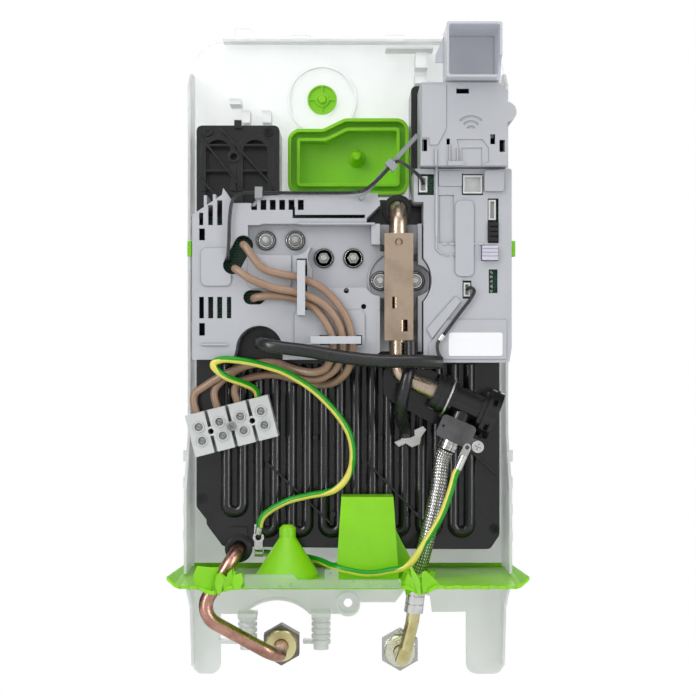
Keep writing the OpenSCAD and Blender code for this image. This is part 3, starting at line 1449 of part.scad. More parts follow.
function pole_x(i) = (i - (poles - 1) / 2) * tb_w / poles;

module on_terminal() {
 translate([tb_share[0] * case_w, 0, tb_share[1] * case_h]) rotate([0, -tb_tilt, 0]) children();
}

module pole_bores(r, l) {
 for (i = [0:poles - 1]) translate([pole_x(i), -tb_bore_d, -l / 2]) cylinder(r = r, h = l);
}

module terminal_block() color(pale) on_terminal() difference() {
 face(tb_back, tb_back + tb_d) rect([-tb_w / 2, tb_w / 2, -tb_h / 2, tb_h / 2]);
 pole_bores(tb_bore_r + sleeve_wall + gap / 6, tb_h * 0.7);
 pole_bores(tb_bore_r, tb_h + 2 * over);
 for (i = [0:poles - 1], z = [-1,1]) peg([pole_x(i), z * tb_h / 6], tb_bore_d, tb_back + tb_d + over, tb_top_r);
 for (i = [1:poles - 1], z = [-1,1]) {
  x = (pole_x(i) + pole_x(i - 1)) / 2;
  a = z * tb_h / 2;
  b = z * tb_h / 9;
  block3([x - tb_slot_w / 2, x + tb_slot_w / 2, min(a, b) - (z < 0 ? over : 0), max(a, b) + (z > 0 ? over : 0)],
   tb_back + tb_d * 0.3, tb_back + tb_d + over);
 }
 for (i = [1:poles - 1]) peg([(pole_x(i) + pole_x(i - 1)) / 2, 0], tb_back - over, tb_back + tb_d + over, tb_fix_r);
}

sleeve_wall = 0.9;

module terminal_sleeves() color(brass) on_terminal() difference() {
 pole_bores(tb_bore_r + sleeve_wall, tb_h * 0.7 - gap);
 pole_bores(tb_bore_r, tb_h);
 for (i = [0:poles - 1], z = [-1,1]) peg([pole_x(i), z * tb_h / 6], tb_bore_d, tb_back + tb_d, tb_top_r);
}

module terminal_screws() color(steel) on_terminal() {
 for (i = [0:poles - 1], z = [-1,1]) difference() {
  peg([pole_x(i), z * tb_h / 6], tb_bore_d + lead_r + gap, tb_back + tb_d - over, tb_top_r - gap);
  translate([pole_x(i), -tb_back - tb_d, z * tb_h / 6]) rotate([0,35,0])
   cube([2 * tb_top_r, 3 * over, tb_top_r / 4], center = true);
 }
 // the screw that holds the block to the heater block
 peg([0,0], tb_back - gap, tb_back + tb_d, tb_fix_r - gap);
 difference() {
  peg([0,0], tb_back + tb_d, tb_back + tb_d + head_h, head_r);
  face(tb_back + tb_d + head_h / 2, tb_back + tb_d + 2 * head_h) for (a = [45,135])
   rotate(a) square([head_r * 1.3, head_r / 4], center = true);
 }
}

// Leads along their real routes

// The brown leads and the long earth lead end in the terminal block's bores
function pole_end(i, z) = [tb_share[0] * case_w + pole_x(i) * cos(tb_tilt) - z * sin(tb_tilt), -tb_bore_d,
 tb_share[1] * case_h + pole_x(i) * sin(tb_tilt) + z * cos(tb_tilt)];
function pole_run(i) = [pole_end(i, tb_h * 0.5), pole_end(i, tb_h * 0.3)];
lead_1 = [[-73,-60.9,72],[-73,-72,72],[-73,-82,72],[-70.5,-89,69.5],[-60,-91,56],[-46,-90.5,51],
 [-33,-90,48.4],[-16,-90,40],[-2,-90,23],[3,-89.5,5.5],[2,-88,-8],[-2,-80.5,-18],
 [-12,-70,-25],[-26,-63,-25.5],[-40,-60,-21.5],[-52,-59.5,-19],[-62,-59.8,-19.5],[-71,-61,-21.5],
 [-78,-62.8,-25],[-80.3,-63.6,-31]];
lead_2 = [[-78.6,-60.9,55.1],[-78.6,-72,55.1],[-78.6,-82,55.1],[-77,-89,54.2],[-66,-91.8,47],[-50,-91.9,41.2],
 [-34.5,-91.8,38.3],[-16.5,-91,30],[-6,-90,16],[-3.5,-89.5,2],[-5.5,-88,-9],[-12,-80.5,-17.5],
 [-24,-73.5,-22.5],[-38,-68,-19],[-50,-66.5,-12.5],[-62,-65.5,-10.5],[-74,-64,-13.5],
 [-86,-63.6,-20.5],[-93.5,-63.6,-28],[-94.6,-63.6,-34.3]];
lead_3 = [[-65.5,-60.9,34.5],[-65.5,-72,34.5],[-65.5,-82,34.5],[-62,-87.1,35.4],[-50,-87.2,36.4],
 [-34.5,-87.2,33.6],[-24,-88.3,28],[-17,-88.9,20],[-12,-89.2,11],[-10,-89.3,2],[-12.5,-89,-9],
 [-17,-84.5,-15],[-26,-79.5,-17],[-38,-75.5,-14.5],[-50,-73.5,-10.5],[-62,-72.5,-10.5],[-76,-71,-14],
 [-90,-68.5,-20],[-102,-65.5,-27.5],[-108,-64,-32],[-109.2,-63.6,-38.1]];
long_route = [[-66,-66,-29],[-74,-74.5,-24.5],[-84,-83,-20.5],
 [-92,-87,-14.5],[-93,-87.5,-10.5],[-87,-87.5,-8],[-77,-86.5,-8.5],[-61,-84,-11.5],[-41,-81,-18.5],
 [-20,-78,-33],[-2.5,-75,-53.5],[3.3,-72.5,-71],[1,-70.5,-88],[-9.5,-69,-100],[-27,-67.5,-104],
 [-41,-66,-107.5],[-52,-63,-113],[-59.5,-61.2,-118.6],[-62.1,-60.4,-123.1],[-62.8,-59.8,-127]];
short_route = [[-60.6,-47,-147],[-52,-46,-148],[-42,-45,-149.5],[-31,-48,-150],[-21,-58,-151],
 [-14,-72,-152],[-9,-82,-152.5],[0,-85.5,-154.5],[14,-86,-156.5],[28,-87,-154.5],[42,-90,-150],
 [54,-93,-133],[63.7,-95,-116.5],[70,-96,-100],[73.4,-96,-87.9]];

module heater_leads() color(brown) {
 lead(concat(on_case(lead_1), pole_run(2)), lead_r);
 lead(concat(on_case(lead_2), pole_run(1)), lead_r);
 lead(concat(on_case(lead_3), pole_run(0)), lead_r);
}

module earth_lead_long() color(earth_green)
 lead(concat([pole_run(3)[1], pole_run(3)[0]], on_case(long_route)), earth_r);
module earth_lead_short() color(earth_green) lead(concat(on_case(short_route), [short_end]), earth_r);

sleeve_route = [[-62,-50.3,3],[-62,-62,3.5],[-62,-76,4],[-61,-88,3.5],[-55.5,-97,2],[-44,-99.5,0],
 [-28,-99,-2],[-12,-98.5,-5],[6,-99,-7.5],[26,-101,-9],[44,-101.5,-9],[56,-100,-9.5],[64,-98,-10]];

module panel_sleeve() color(black) lead(on_case(sleeve_route), sleeve_r, 10);

sensor_route = [[43.4,-87.8,4.4],[43.5,-88,0],[43.4,-88.8,-7],[42.4,-91,-14],[40.5,-93,-22],
 [38,-90.5,-33],[37,-82,-43],[37.6,-73,-50],[39.5,-66,-54.5],[41,-62,-58.6],[41.5,-61,-63.1]];
clip_shares = [[0.142,-0.14],[0.156,-0.1467],[0.177,-0.1415],[0.1966,-0.1475],[0.221,-0.1425],
 [0.2246,-0.1323],[0.2405,-0.121],[0.2297,-0.116],[0.2034,-0.122],[0.205,-0.1304],[0.184,-0.1323],
 [0.172,-0.1288],[0.163,-0.1356]];

module sensor_sleeve() color(black) lead(on_case(sensor_route), sensor_sleeve_r, 10, 3);

module sensor_clip() color(steel)
 face(rib_front, rib_front + over) shape(clip_shares);

thin_1 = [[52,-91.5,113],[50.5,-95.5,116.5],[46,-96,121],[39,-94.5,126.5],[34.5,-93.2,128.8],
 [30,-93,126],[26,-93,121.8],[18,-92.6,113.8],[11,-92.4,109],[2,-89,107.6],[-20,-86.7,107.6],
 [-45,-86.6,107.6],[-62,-86.6,107.7],[-74,-86.8,107.2],[-80,-87.5,102],[-82,-88,90],[-82.5,-88,75],
 [-83,-88.3,66],[-83.3,-87.2,61.8],[-83.4,-82,61.2],[-83.4,-60.9,61.2]];
thin_2 = [[82.1,-92.3,40.3],[82.1,-94.6,40.4],[84.5,-96.5,41.5],[87.5,-95.5,40],[86.5,-94.4,36],
 [79,-94.4,25],[70.5,-94.5,10.5],[69.5,-94.5,2],[70.3,-95.2,-5],[68.3,-96.9,-9.3],[64.4,-97.9,-10]];

module sensor_leads() color(black) {
 lead(on_case(thin_1), sensor_r);
 lead(on_case(thin_2), sensor_r);
}

clip_place_shares = [[[0.1293,0.2625], -46],[[-0.267,0.2244], 0]];
clip_w = 5.2;
clip_h = 8;

module lead_clips() color(pale) {
 for (c = clip_place_shares) translate([0, c[1] < 0 ? -strut_d[1] : -panel_front, 0])
  translate([c[0][0] * case_w, 0, c[0][1] * case_h]) rotate([0, c[1], 0]) difference() {
   block3([-clip_w / 2, clip_w / 2, -clip_h / 2, clip_h / 2], 0, clip_w);
   block3([-clip_w, clip_w, -clip_h / 2 + over, clip_h / 2 - over], over, clip_w - over);
  }
}

back_shell();
screw_hole_plug();
upper_cable_boot();
bottom_seal();
heater_block_rear();
heater_block_front();
heating_coils();
block_screws();
terminal_studs();
terminal_nuts();
terminal_rings();
power_board();
electronics_panel();
cable_straps();
control_carrier();
control_board();
board_connectors();
coding_plug();
reset_button();
reset_switch();
radio_cover();
radio_module();
display_box();
strut();
latch_left();
latch_right();
cold_gland();
cold_pipe();
heat_sink_plate();
triacs();
flow_body();
flow_spring_clip();
flow_turbine();
flow_cap();
inlet_filter();
clamp_plate();
clamp_screw();
inlet_hose();
hose_ferrules();
cold_elbow();
cold_nut();
nut_gaskets();
hot_gland();
hot_pipe();
hot_nut();
earth_tab();
earth_lugs();
terminal_block();
terminal_screws();
terminal_sleeves();
heater_leads();
earth_lead_long();
earth_lead_short();
panel_sleeve();
sensor_sleeve();
sensor_clip();
sensor_leads();
lead_clips();
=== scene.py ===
# %% [markdown]
# # A tankless water heater with its cover off
#
# The solids of this heater come from a CAD model. This lesson dresses them: it adds the flexible
# pieces, such as leads and the braided hose, and gives each piece the finish of the real one.
# Everything is in metres, with the wall at y = 0, z up and the open front towards -y.

# %% Load the frame
import math

import bmesh
import bpy
from mathutils import Matrix, Vector


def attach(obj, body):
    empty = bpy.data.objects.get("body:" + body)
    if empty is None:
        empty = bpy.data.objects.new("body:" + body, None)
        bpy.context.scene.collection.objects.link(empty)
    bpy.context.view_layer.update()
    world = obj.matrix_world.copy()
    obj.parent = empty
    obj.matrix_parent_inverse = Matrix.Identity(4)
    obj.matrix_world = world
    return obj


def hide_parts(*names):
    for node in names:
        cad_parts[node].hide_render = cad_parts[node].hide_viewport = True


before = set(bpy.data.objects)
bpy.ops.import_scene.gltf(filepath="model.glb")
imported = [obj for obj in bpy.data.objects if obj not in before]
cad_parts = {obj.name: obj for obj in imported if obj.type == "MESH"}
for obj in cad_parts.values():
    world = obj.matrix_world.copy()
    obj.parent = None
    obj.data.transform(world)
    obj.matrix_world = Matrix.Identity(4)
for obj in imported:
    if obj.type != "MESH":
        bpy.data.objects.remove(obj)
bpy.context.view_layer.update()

MM = 0.001

# %% [markdown]
# ## The camera
#
# The photographer stood level with the middle of the case, a little over a metre from the wall.
# A camera is an object with a lens. Its angle of view follows from the width that it sees at a
# known distance, so no guessing is needed.

# %% Place the camera
VIEW_DISTANCE = 1.150
VIEW_HALF_WIDTH = 0.24708
FRONT_PLANE_Y = -0.060

camera_data = bpy.data.cameras.new("camera")
camera_data.sensor_fit = "HORIZONTAL"
camera_data.angle = 2 * math.atan(VIEW_HALF_WIDTH / VIEW_DISTANCE)
camera_data.clip_start = 0.01
camera = bpy.data.objects.new("camera", camera_data)
camera.location = (0, FRONT_PLANE_Y - VIEW_DISTANCE, 0)
camera.rotation_euler = (math.radians(90), 0, 0)
bpy.context.scene.collection.objects.link(camera)
bpy.context.scene.camera = camera
print("angle of view:", round(math.degrees(camera_data.angle), 2))

# %% [markdown]
# ## Floor, air and lamps
#
# A product photo is lit by large soft sources. The world is white where the camera sees it and dimmer
# where it lights the object, so the background stays white without washing out the part. Shiny
# surfaces see a bright front and dim sides, which gives round metal and black plastic their dark edges.

# %% Fill the studio with air
SHINE_AHEAD = 0.72
SHINE_ASIDE = 0.1
scene = bpy.context.scene
scene.view_settings.view_transform = "Standard"

world = bpy.data.worlds.new("studio_air")
world.use_nodes = True
scene.world = world
air = world.node_tree
air.nodes.clear()
air_out = air.nodes.new("ShaderNodeOutputWorld")
seen_air = air.nodes.new("ShaderNodeBackground")
seen_air.inputs["Color"].default_value = (1, 1, 1, 1)
seen_air.inputs["Strength"].default_value = 1.0
mirrored_air = air.nodes.new("ShaderNodeBackground")
mirrored_air.inputs["Color"].default_value = (1, 1, 1, 1)
air_way = air.nodes.new("ShaderNodeTexCoord")
air_split = air.nodes.new("ShaderNodeSeparateXYZ")
air_front = air.nodes.new("ShaderNodeMapRange")
air_front.interpolation_type = "SMOOTHSTEP"
air_front.inputs["From Min"].default_value = -0.95
air_front.inputs["From Max"].default_value = 0.1
air_front.inputs["To Min"].default_value = SHINE_AHEAD
air_front.inputs["To Max"].default_value = SHINE_ASIDE
air.links.new(air_way.outputs["Generated"], air_split.inputs[0])
air.links.new(air_split.outputs["Y"], air_front.inputs["Value"])
air.links.new(air_front.outputs["Result"], mirrored_air.inputs["Strength"])
lighting_air = air.nodes.new("ShaderNodeBackground")
lighting_air.inputs["Color"].default_value = (0.97, 0.98, 1, 1)
lighting_air.inputs["Strength"].default_value = 0.5
rays = air.nodes.new("ShaderNodeLightPath")
seen = air.nodes.new("ShaderNodeMath")
seen.operation = "MAXIMUM"
mirror_mix = air.nodes.new("ShaderNodeMixShader")
air_mix = air.nodes.new("ShaderNodeMixShader")
air.links.new(rays.outputs["Is Camera Ray"], seen.inputs[0])
air.links.new(rays.outputs["Is Transmission Ray"], seen.inputs[1])
air.links.new(rays.outputs["Is Glossy Ray"], mirror_mix.inputs[0])
air.links.new(lighting_air.outputs[0], mirror_mix.inputs[1])
air.links.new(mirrored_air.outputs[0], mirror_mix.inputs[2])
air.links.new(seen.outputs[0], air_mix.inputs[0])
air.links.new(mirror_mix.outputs[0], air_mix.inputs[1])
air.links.new(seen_air.outputs[0], air_mix.inputs[2])
air.links.new(air_mix.outputs[0], air_out.inputs["Surface"])
print("air nodes:", len(air.nodes))

# %% [markdown]
# Wide area lamps stand left, right, above, below and behind, each with soft shadows. Two narrow strips
# show only in shiny surfaces, where they draw the bright lines on ribs and pipes.

# %% Hang the lamps
LAMP_AIM = Vector((0, -0.05, 0))
LAMPS = {  # place, width, height and power of each lamp; all face the middle of the case
    "left_lamp": ((-1.1, -1.5, 0.9), 1.2, 1.2, 13),
    "right_lamp": ((1.3, -1.3, 0.3), 1.2, 1.2, 7.5),
    "top_lamp": ((0.0, -0.7, 1.6), 1.0, 1.0, 7),
    "low_lamp": ((0.1, -1.6, -0.9), 1.0, 1.0, 4),
    "back_lamp": ((0.0, 1.4, 0.7), 1.2, 1.2, 10),
    "left_strip": ((-0.85, -1.05, 0.1), 0.09, 1.3, 7),
    "right_strip": ((0.9, -1.0, 0.0), 0.07, 1.3, 4),
}
for lamp_name, (place, width, height, power) in LAMPS.items():
    lamp_data = bpy.data.lights.new(lamp_name, "AREA")
    lamp_data.shape = "RECTANGLE"
    lamp_data.size = width
    lamp_data.size_y = height
    lamp_data.energy = power
    lamp = bpy.data.objects.new(lamp_name, lamp_data)
    lamp.visible_diffuse = "strip" not in lamp_name
    lamp.location = place
    lamp.rotation_euler = (LAMP_AIM - Vector(place)).to_track_quat("-Z", "Y").to_euler()
    scene.collection.objects.link(lamp)
print("lamps:", len(LAMPS))


# %% [markdown]
# ## Helpers for pieces
#
# Every new piece is drawn as a bmesh, turned into an object that sits at the origin, and told which
# CAD body it rides on. Lengths are typed in millimetres, as on a drawing, and scaled once here.

# %% Turn a bmesh into a piece
def piece_from(bm, name, finish, body="heater", smooth=40):
    mesh = bpy.data.meshes.new(name)
    bm.to_mesh(mesh)
    bm.free()
    mesh.transform(Matrix.Scale(MM, 4))
    mesh.materials.append(finish)
    mesh.shade_smooth()
    if smooth < 180:
        mesh.set_sharp_from_angle(angle=math.radians(smooth))
    piece = bpy.data.objects.new(name, mesh)
    scene.collection.objects.link(piece)
    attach(piece, body)
    return piece


# %% [markdown]
# Three small makers serve most of the added trim. One joins two rings of vertices with quads. One turns
# a profile round a line that points to the front, as a lathe does. One cuts a flat outline and gives it
# a thickness.

# %% Makers for rings and plates
TO_FRONT = Matrix.Rotation(math.radians(90), 4, "X")


def bridge(bm, first, second):
    count = len(first)
    edges = [bm.edges.get((ring[k], ring[(k + 1) % count]))
             for ring in (first, second) for k in range(count)]
    bmesh.ops.bridge_loops(bm, edges=edges)


def turned_ring(bm, centre, profile, sides=40):
    """A closed ring round the line through centre (x, z); the profile holds (radius, depth) pairs."""
    rings = []
    for radius, depth in profile:
        stand = Matrix.Translation((centre[0], -depth, centre[1])) @ TO_FRONT
        rings.append(bmesh.ops.create_circle(bm, segments=sides, radius=radius, matrix=stand)["verts"])
    for first, second in zip(rings, rings[1:] + rings[:1]):
        bridge(bm, first, second)


def rounded_outline(left, right, low, high, radius, steps=6):
    corners = [(right - radius, high - radius, 0), (left + radius, high - radius, 90),
               (left + radius, low + radius, 180), (right - radius, low + radius, 270)]
    return [(x + radius * math.cos(math.radians(start + 90 * k / steps)),
             z + radius * math.sin(math.radians(start + 90 * k / steps)))
            for x, z, start in corners for k in range(steps + 1)]


def plate(bm, outline, back, front):
    """A flat plate with the (x, z) outline, from depth back to depth front."""
    face = bm.faces.new([bm.verts.new((x, -back, z)) for x, z in outline])
    grown = bmesh.ops.extrude_face_region(bm, geom=[face])["geom"]
    raised = [item for item in grown if isinstance(item, bmesh.types.BMVert)]
    bmesh.ops.translate(bm, verts=raised, vec=(0, back - front, 0))
    bmesh.ops.recalc_face_normals(bm, faces=bm.faces)


# %% [markdown]
# The heater hangs on a wall, so the pale floor lies well below it and only catches its shadow.

# %% Build the floor
FLOOR_Z = -320
FLOOR_HALF = 900
FLOOR_Y = -650
floor_bm = bmesh.new()
bmesh.ops.create_grid(floor_bm, x_segments=1, y_segments=1, size=FLOOR_HALF,
                      matrix=Matrix.Translation((0, FLOOR_Y, FLOOR_Z)))
floor_mesh = bpy.data.meshes.new("floor")
floor_bm.to_mesh(floor_mesh)
floor_bm.free()
floor_mesh.transform(Matrix.Scale(MM, 4))
floor = bpy.data.objects.new("floor", floor_mesh)
scene.collection.objects.link(floor)

floor_paint = bpy.data.materials.new("pale_floor")
floor_paint.use_nodes = True
floor_nodes = floor_paint.node_tree
floor_shader = floor_nodes.nodes["Principled BSDF"]
floor_shader.inputs["Roughness"].default_value = 0.9
floor_shader.inputs["Specular IOR Level"].default_value = 0.2
floor_noise = floor_nodes.nodes.new("ShaderNodeTexNoise")
floor_noise.inputs["Scale"].default_value = 6
floor_ramp = floor_nodes.nodes.new("ShaderNodeValToRGB")
floor_ramp.color_ramp.elements[0].color = (0.84, 0.84, 0.84, 1)
floor_ramp.color_ramp.elements[1].color = (0.88, 0.88, 0.88, 1)
floor_nodes.links.new(floor_noise.outputs["Fac"], floor_ramp.inputs["Fac"])
floor_nodes.links.new(floor_ramp.outputs["Color"], floor_shader.inputs["Base Color"])
floor_mesh.materials.append(floor_paint)
print("floor at z", FLOOR_Z, "mm")


# %% [markdown]
# ## Finishes
#
# Moulded plastic is never one flat colour: the pigment clouds a little, the mould's texture breaks up
# the gloss, and edges are slightly rounded. One recipe makes all the plastics and rubbers here. The
# clouding, the gloss and the grain each come from a noise on object coordinates, so the patterns stay
# with the piece. A bevel node rounds the light on sharp CAD edges.

# %% A recipe for moulded plastic and rubber
def screen_colour(red, green, blue):
    """A colour as a screen shows it, 0 to 255, made linear for the shader."""
    return tuple(((c / 255 + 0.055) / 1.055) ** 2.4 if c > 10 else c / 255 / 12.92
                 for c in (red, green, blue)) + (1.0,)


def shaded(colour, factor):
    return tuple(min(1.0, c * factor) for c in colour[:3]) + (1.0,)


def start_finish(name):
    material = bpy.data.materials.new(name)
    material.use_nodes = True
    tree = material.node_tree
    shader = tree.nodes["Principled BSDF"]
    place = tree.nodes.new("ShaderNodeTexCoord")
    return material, tree, shader, place


def add_noise(tree, vector, scale, detail=3.0, rough=0.5):
    noise = tree.nodes.new("ShaderNodeTexNoise")
    noise.inputs["Scale"].default_value = scale
    noise.inputs["Detail"].default_value = detail
    noise.inputs["Roughness"].default_value = rough
    tree.links.new(vector, noise.inputs["Vector"])
    return noise.outputs["Fac"]


def add_ramp(tree, value, stops):
    ramp = tree.nodes.new("ShaderNodeValToRGB")
    while len(ramp.color_ramp.elements) < len(stops):
        ramp.color_ramp.elements.new(0.5)
    for element, (position, colour) in zip(ramp.color_ramp.elements, stops):
        element.position = position
        element.color = colour
    tree.links.new(value, ramp.inputs["Fac"])
    return ramp.outputs["Color"]


def add_math(tree, operation, first, second=None):
    node = tree.nodes.new("ShaderNodeMath")
    node.operation = operation
    for socket, value in zip(node.inputs, (first, second)):
        if isinstance(value, (int, float)):
            socket.default_value = value
        elif value is not None:
            tree.links.new(value, socket)
    return node.outputs[0]


def add_range(tree, value, low, high, from_low=0.3, from_high=0.7):
    spread = tree.nodes.new("ShaderNodeMapRange")
    spread.inputs["From Min"].default_value = from_low
    spread.inputs["From Max"].default_value = from_high
    spread.inputs["To Min"].default_value = low
    spread.inputs["To Max"].default_value = high
    tree.links.new(value, spread.inputs["Value"])
    return spread.outputs["Result"]


def add_bump(tree, shader, height, depth_mm, edge_mm=0.0, strength=1.0):
    bump = tree.nodes.new("ShaderNodeBump")
    bump.inputs["Strength"].default_value = strength
    bump.inputs["Distance"].default_value = depth_mm * MM
    tree.links.new(height, bump.inputs["Height"])
    if edge_mm:
        rounding = tree.nodes.new("ShaderNodeBevel")
        rounding.samples = 4
        rounding.inputs["Radius"].default_value = edge_mm * MM
        tree.links.new(rounding.outputs["Normal"], bump.inputs["Normal"])
    tree.links.new(bump.outputs["Normal"], shader.inputs["Normal"])


def add_crease_shade(tree, tone, reach_mm):
    """Painted shade: the tone, darker in corners and grooves narrower than the reach, where light
    hardly gets in.
    """
    nearness = tree.nodes.new("ShaderNodeAmbientOcclusion")
    nearness.samples = 6
    nearness.inputs["Distance"].default_value = reach_mm * MM
    share = add_range(tree, nearness.outputs["AO"], 0.42, 1.0, 0.3, 0.8)
    mix = tree.nodes.new("ShaderNodeVectorMath")
    mix.operation = "SCALE"
    tree.links.new(tone, mix.inputs[0])
    tree.links.new(share, mix.inputs["Scale"])
    return mix.outputs[0]


def moulded(name, colour, gloss=(0.35, 0.5), cloud=0.06, grain_mm=0.5, grain_depth=0.02,
            edge_mm=0.4, glow=0.0, glow_mm=2.0, clear=0.0, inner=0.0, crease_shade_mm=0.0):
    material, tree, shader, place = start_finish(name)
    vector = place.outputs["Object"]
    clouds = add_noise(tree, vector, 45, 4)
    tone = add_ramp(tree, clouds, [(0.3, shaded(colour, 1 - cloud)), (0.7, shaded(colour, 1 + cloud))])
    # painted shade in corners and grooves
    if crease_shade_mm:
        tone = add_crease_shade(tree, tone, crease_shade_mm)
    tree.links.new(tone, shader.inputs["Base Color"])
    wear = add_noise(tree, vector, 160, 5, 0.6)
    tree.links.new(add_range(tree, wear, gloss[0], gloss[1]), shader.inputs["Roughness"])
    grain = add_noise(tree, vector, 1000 / grain_mm / 6, 2)
    add_bump(tree, shader, grain, grain_depth, edge_mm)
    if glow:
        shader.inputs["Subsurface Weight"].default_value = glow
        shader.inputs["Subsurface Radius"].default_value = (1.0, 1.0, 1.0)
        shader.inputs["Subsurface Scale"].default_value = glow_mm * MM
    if clear:
        shader.inputs["Transmission Weight"].default_value = clear
        shader.inputs["IOR"].default_value = 1.49
    # Painted glow: the tone is also given as emission, so the plastic shines without a lamp.
    if inner:  # light that a milky plastic gathers from behind
        tree.links.new(tone, shader.inputs["Emission Color"])
        shader.inputs["Emission Strength"].default_value = inner
    return material


# the frosted shell has a painted glow (inner): emission lightens it where it lies in shade
frosted_white = moulded("frosted_white", screen_colour(224, 226, 225), gloss=(0.3, 0.45), cloud=0.02,
                        grain_mm=0.6, grain_depth=0.03, edge_mm=0.7, glow=0.3, glow_mm=4.0,
                        clear=0.42, inner=0.1)
frosted_clear = moulded("frosted_clear", screen_colour(238, 240, 238), gloss=(0.25, 0.4), cloud=0.02,
                        grain_mm=0.6, clear=0.85)
# the lime rubber has a faint painted glow (inner)
lime_rubber = moulded("lime_rubber", screen_colour(140, 214, 16), gloss=(0.3, 0.42), grain_mm=0.4,
                      grain_depth=0.015, edge_mm=0.6, glow=0.3, inner=0.02)
lime_clip = moulded("lime_clip", screen_colour(134, 214, 16), gloss=(0.3, 0.42), cloud=0.07,
                    grain_mm=0.4, grain_depth=0.015, glow=0.2, glow_mm=1.5)
block_black = moulded("block_black", screen_colour(27, 27, 29), gloss=(0.12, 0.24), cloud=0.2,
                      grain_mm=0.7, grain_depth=0.015, edge_mm=0.7, crease_shade_mm=3.0)
gloss_black = moulded("gloss_black", screen_colour(24, 24, 26), gloss=(0.09, 0.2), cloud=0.15,
                      grain_mm=0.7, grain_depth=0.01, edge_mm=0.5)
panel_grey = moulded("panel_grey", screen_colour(184, 186, 191), gloss=(0.36, 0.5), cloud=0.025,
                     grain_mm=0.35, edge_mm=0.5, crease_shade_mm=1.6)
# the display box has a painted glow (inner): emission keeps its inside light
display_grey = moulded("display_grey", screen_colour(180, 182, 188), gloss=(0.36, 0.5), cloud=0.025,
                       grain_mm=0.35, edge_mm=0.5, inner=0.24, crease_shade_mm=1.6)
strut_grey = moulded("strut_grey", screen_colour(150, 154, 158), gloss=(0.3, 0.44), cloud=0.03,
                     grain_mm=0.35)
ivory_white = moulded("ivory_white", screen_colour(214, 216, 214), gloss=(0.25, 0.38), cloud=0.03,
                      grain_mm=0.4, grain_depth=0.01, glow=0.2, glow_mm=1.0)
block_white = moulded("block_white", screen_colour(206, 208, 208), gloss=(0.22, 0.36), cloud=0.05,
                      edge_mm=0.5, glow=0.3, glow_mm=1.5, crease_shade_mm=1.6)
strap_grey = moulded("strap_grey", screen_colour(194, 197, 202), gloss=(0.3, 0.42), cloud=0.02,
                     grain_mm=0.35, grain_depth=0.01)
label_white = moulded("label_white", screen_colour(248, 248, 250), gloss=(0.3, 0.4), cloud=0.008,
                      grain_mm=0.4, grain_depth=0.004, edge_mm=0.1)
button_grey = moulded("button_grey", screen_colour(204, 202, 216), gloss=(0.2, 0.35), cloud=0.03,
                      grain_mm=0.4, grain_depth=0.01)
sleeve_black = moulded("sleeve_black", screen_colour(34, 34, 36), gloss=(0.22, 0.36), cloud=0.15,
                       grain_depth=0.03, edge_mm=0.0)
washer_black = moulded("washer_black", screen_colour(38, 38, 40), gloss=(0.4, 0.55), cloud=0.15,
                       grain_mm=0.4, edge_mm=0.3)
lead_brown = moulded("lead_brown", screen_colour(160, 130, 107), gloss=(0.26, 0.4), cloud=0.08,
                     edge_mm=0.0)
print("moulded finishes:", len(bpy.data.materials))

# %% [markdown]
# Metal parts differ by how they were made. A drawn pipe has long faint streaks, a zinc-plated screw
# has a cloudy passivated skin, and old copper turns brown in patches. The recipe stretches a noise
# along one axis for the streaks and mixes a darker tone in where a broad noise is high.

# %% A recipe for metal
def worked_metal(name, colour, tarnish, gloss=(0.2, 0.35), streak=(40, 40, 40), patch=(0.45, 0.7),
                 grain_depth=0.008, edge_mm=0.3, patch_scale=60, front=None, crease_shade_mm=0.0):
    material, tree, shader, place = start_finish(name)
    shader.inputs["Metallic"].default_value = 1.0
    vector = place.outputs["Object"]
    patches = add_noise(tree, vector, patch_scale, 5, 0.6)
    tone = add_ramp(tree, patches, [(patch[0], colour), (patch[1], tarnish)])
    if front:  # another colour in front of a depth, given as (depth, colour)
        split = tree.nodes.new("ShaderNodeSeparateXYZ")
        tree.links.new(vector, split.inputs[0])
        mix = tree.nodes.new("ShaderNodeMix")
        mix.data_type = "RGBA"
        tree.links.new(add_math(tree, "LESS_THAN", split.outputs["Y"], -front[0] * MM), mix.inputs[0])
        tree.links.new(tone, mix.inputs[6])
        mix.inputs[7].default_value = front[1]
        tone = mix.outputs[2]
    # painted shade in corners and grooves
    if crease_shade_mm:
        tone = add_crease_shade(tree, tone, crease_shade_mm)
    tree.links.new(tone, shader.inputs["Base Color"])
    stretch = tree.nodes.new("ShaderNodeMapping")
    stretch.inputs["Scale"].default_value = streak
    tree.links.new(vector, stretch.inputs["Vector"])
    streaks = add_noise(tree, stretch.outputs["Vector"], 20, 4, 0.65)
    tree.links.new(add_range(tree, streaks, gloss[0], gloss[1]), shader.inputs["Roughness"])
    add_bump(tree, shader, streaks, grain_depth, edge_mm)
    return material


plated_steel = worked_metal("plated_steel", (0.62, 0.62, 0.61, 1), (0.46, 0.45, 0.42, 1),
                            gloss=(0.18, 0.34))
polished_steel = worked_metal("polished_steel", (0.74, 0.74, 0.73, 1), (0.5, 0.5, 0.48, 1),
                              gloss=(0.08, 0.2), crease_shade_mm=1.2)
nut_steel = worked_metal("nut_steel", (0.40, 0.40, 0.39, 1), (0.28, 0.28, 0.27, 1),
                         gloss=(0.16, 0.3), crease_shade_mm=1.2)
dull_steel = worked_metal("dull_steel", (0.12, 0.12, 0.125, 1), (0.08, 0.08, 0.08, 1),
                          gloss=(0.34, 0.5))
black_screw = worked_metal("black_screw", (0.035, 0.035, 0.038, 1), (0.02, 0.02, 0.02, 1),
                           gloss=(0.4, 0.55))
bright_washer = worked_metal("bright_washer", (0.78, 0.78, 0.77, 1), (0.6, 0.6, 0.58, 1),
                             gloss=(0.14, 0.26))
bronze_plate = worked_metal("bronze_plate", screen_colour(164, 147, 130),
                            screen_colour(146, 129, 113), gloss=(0.42, 0.55), streak=(8, 8, 60))
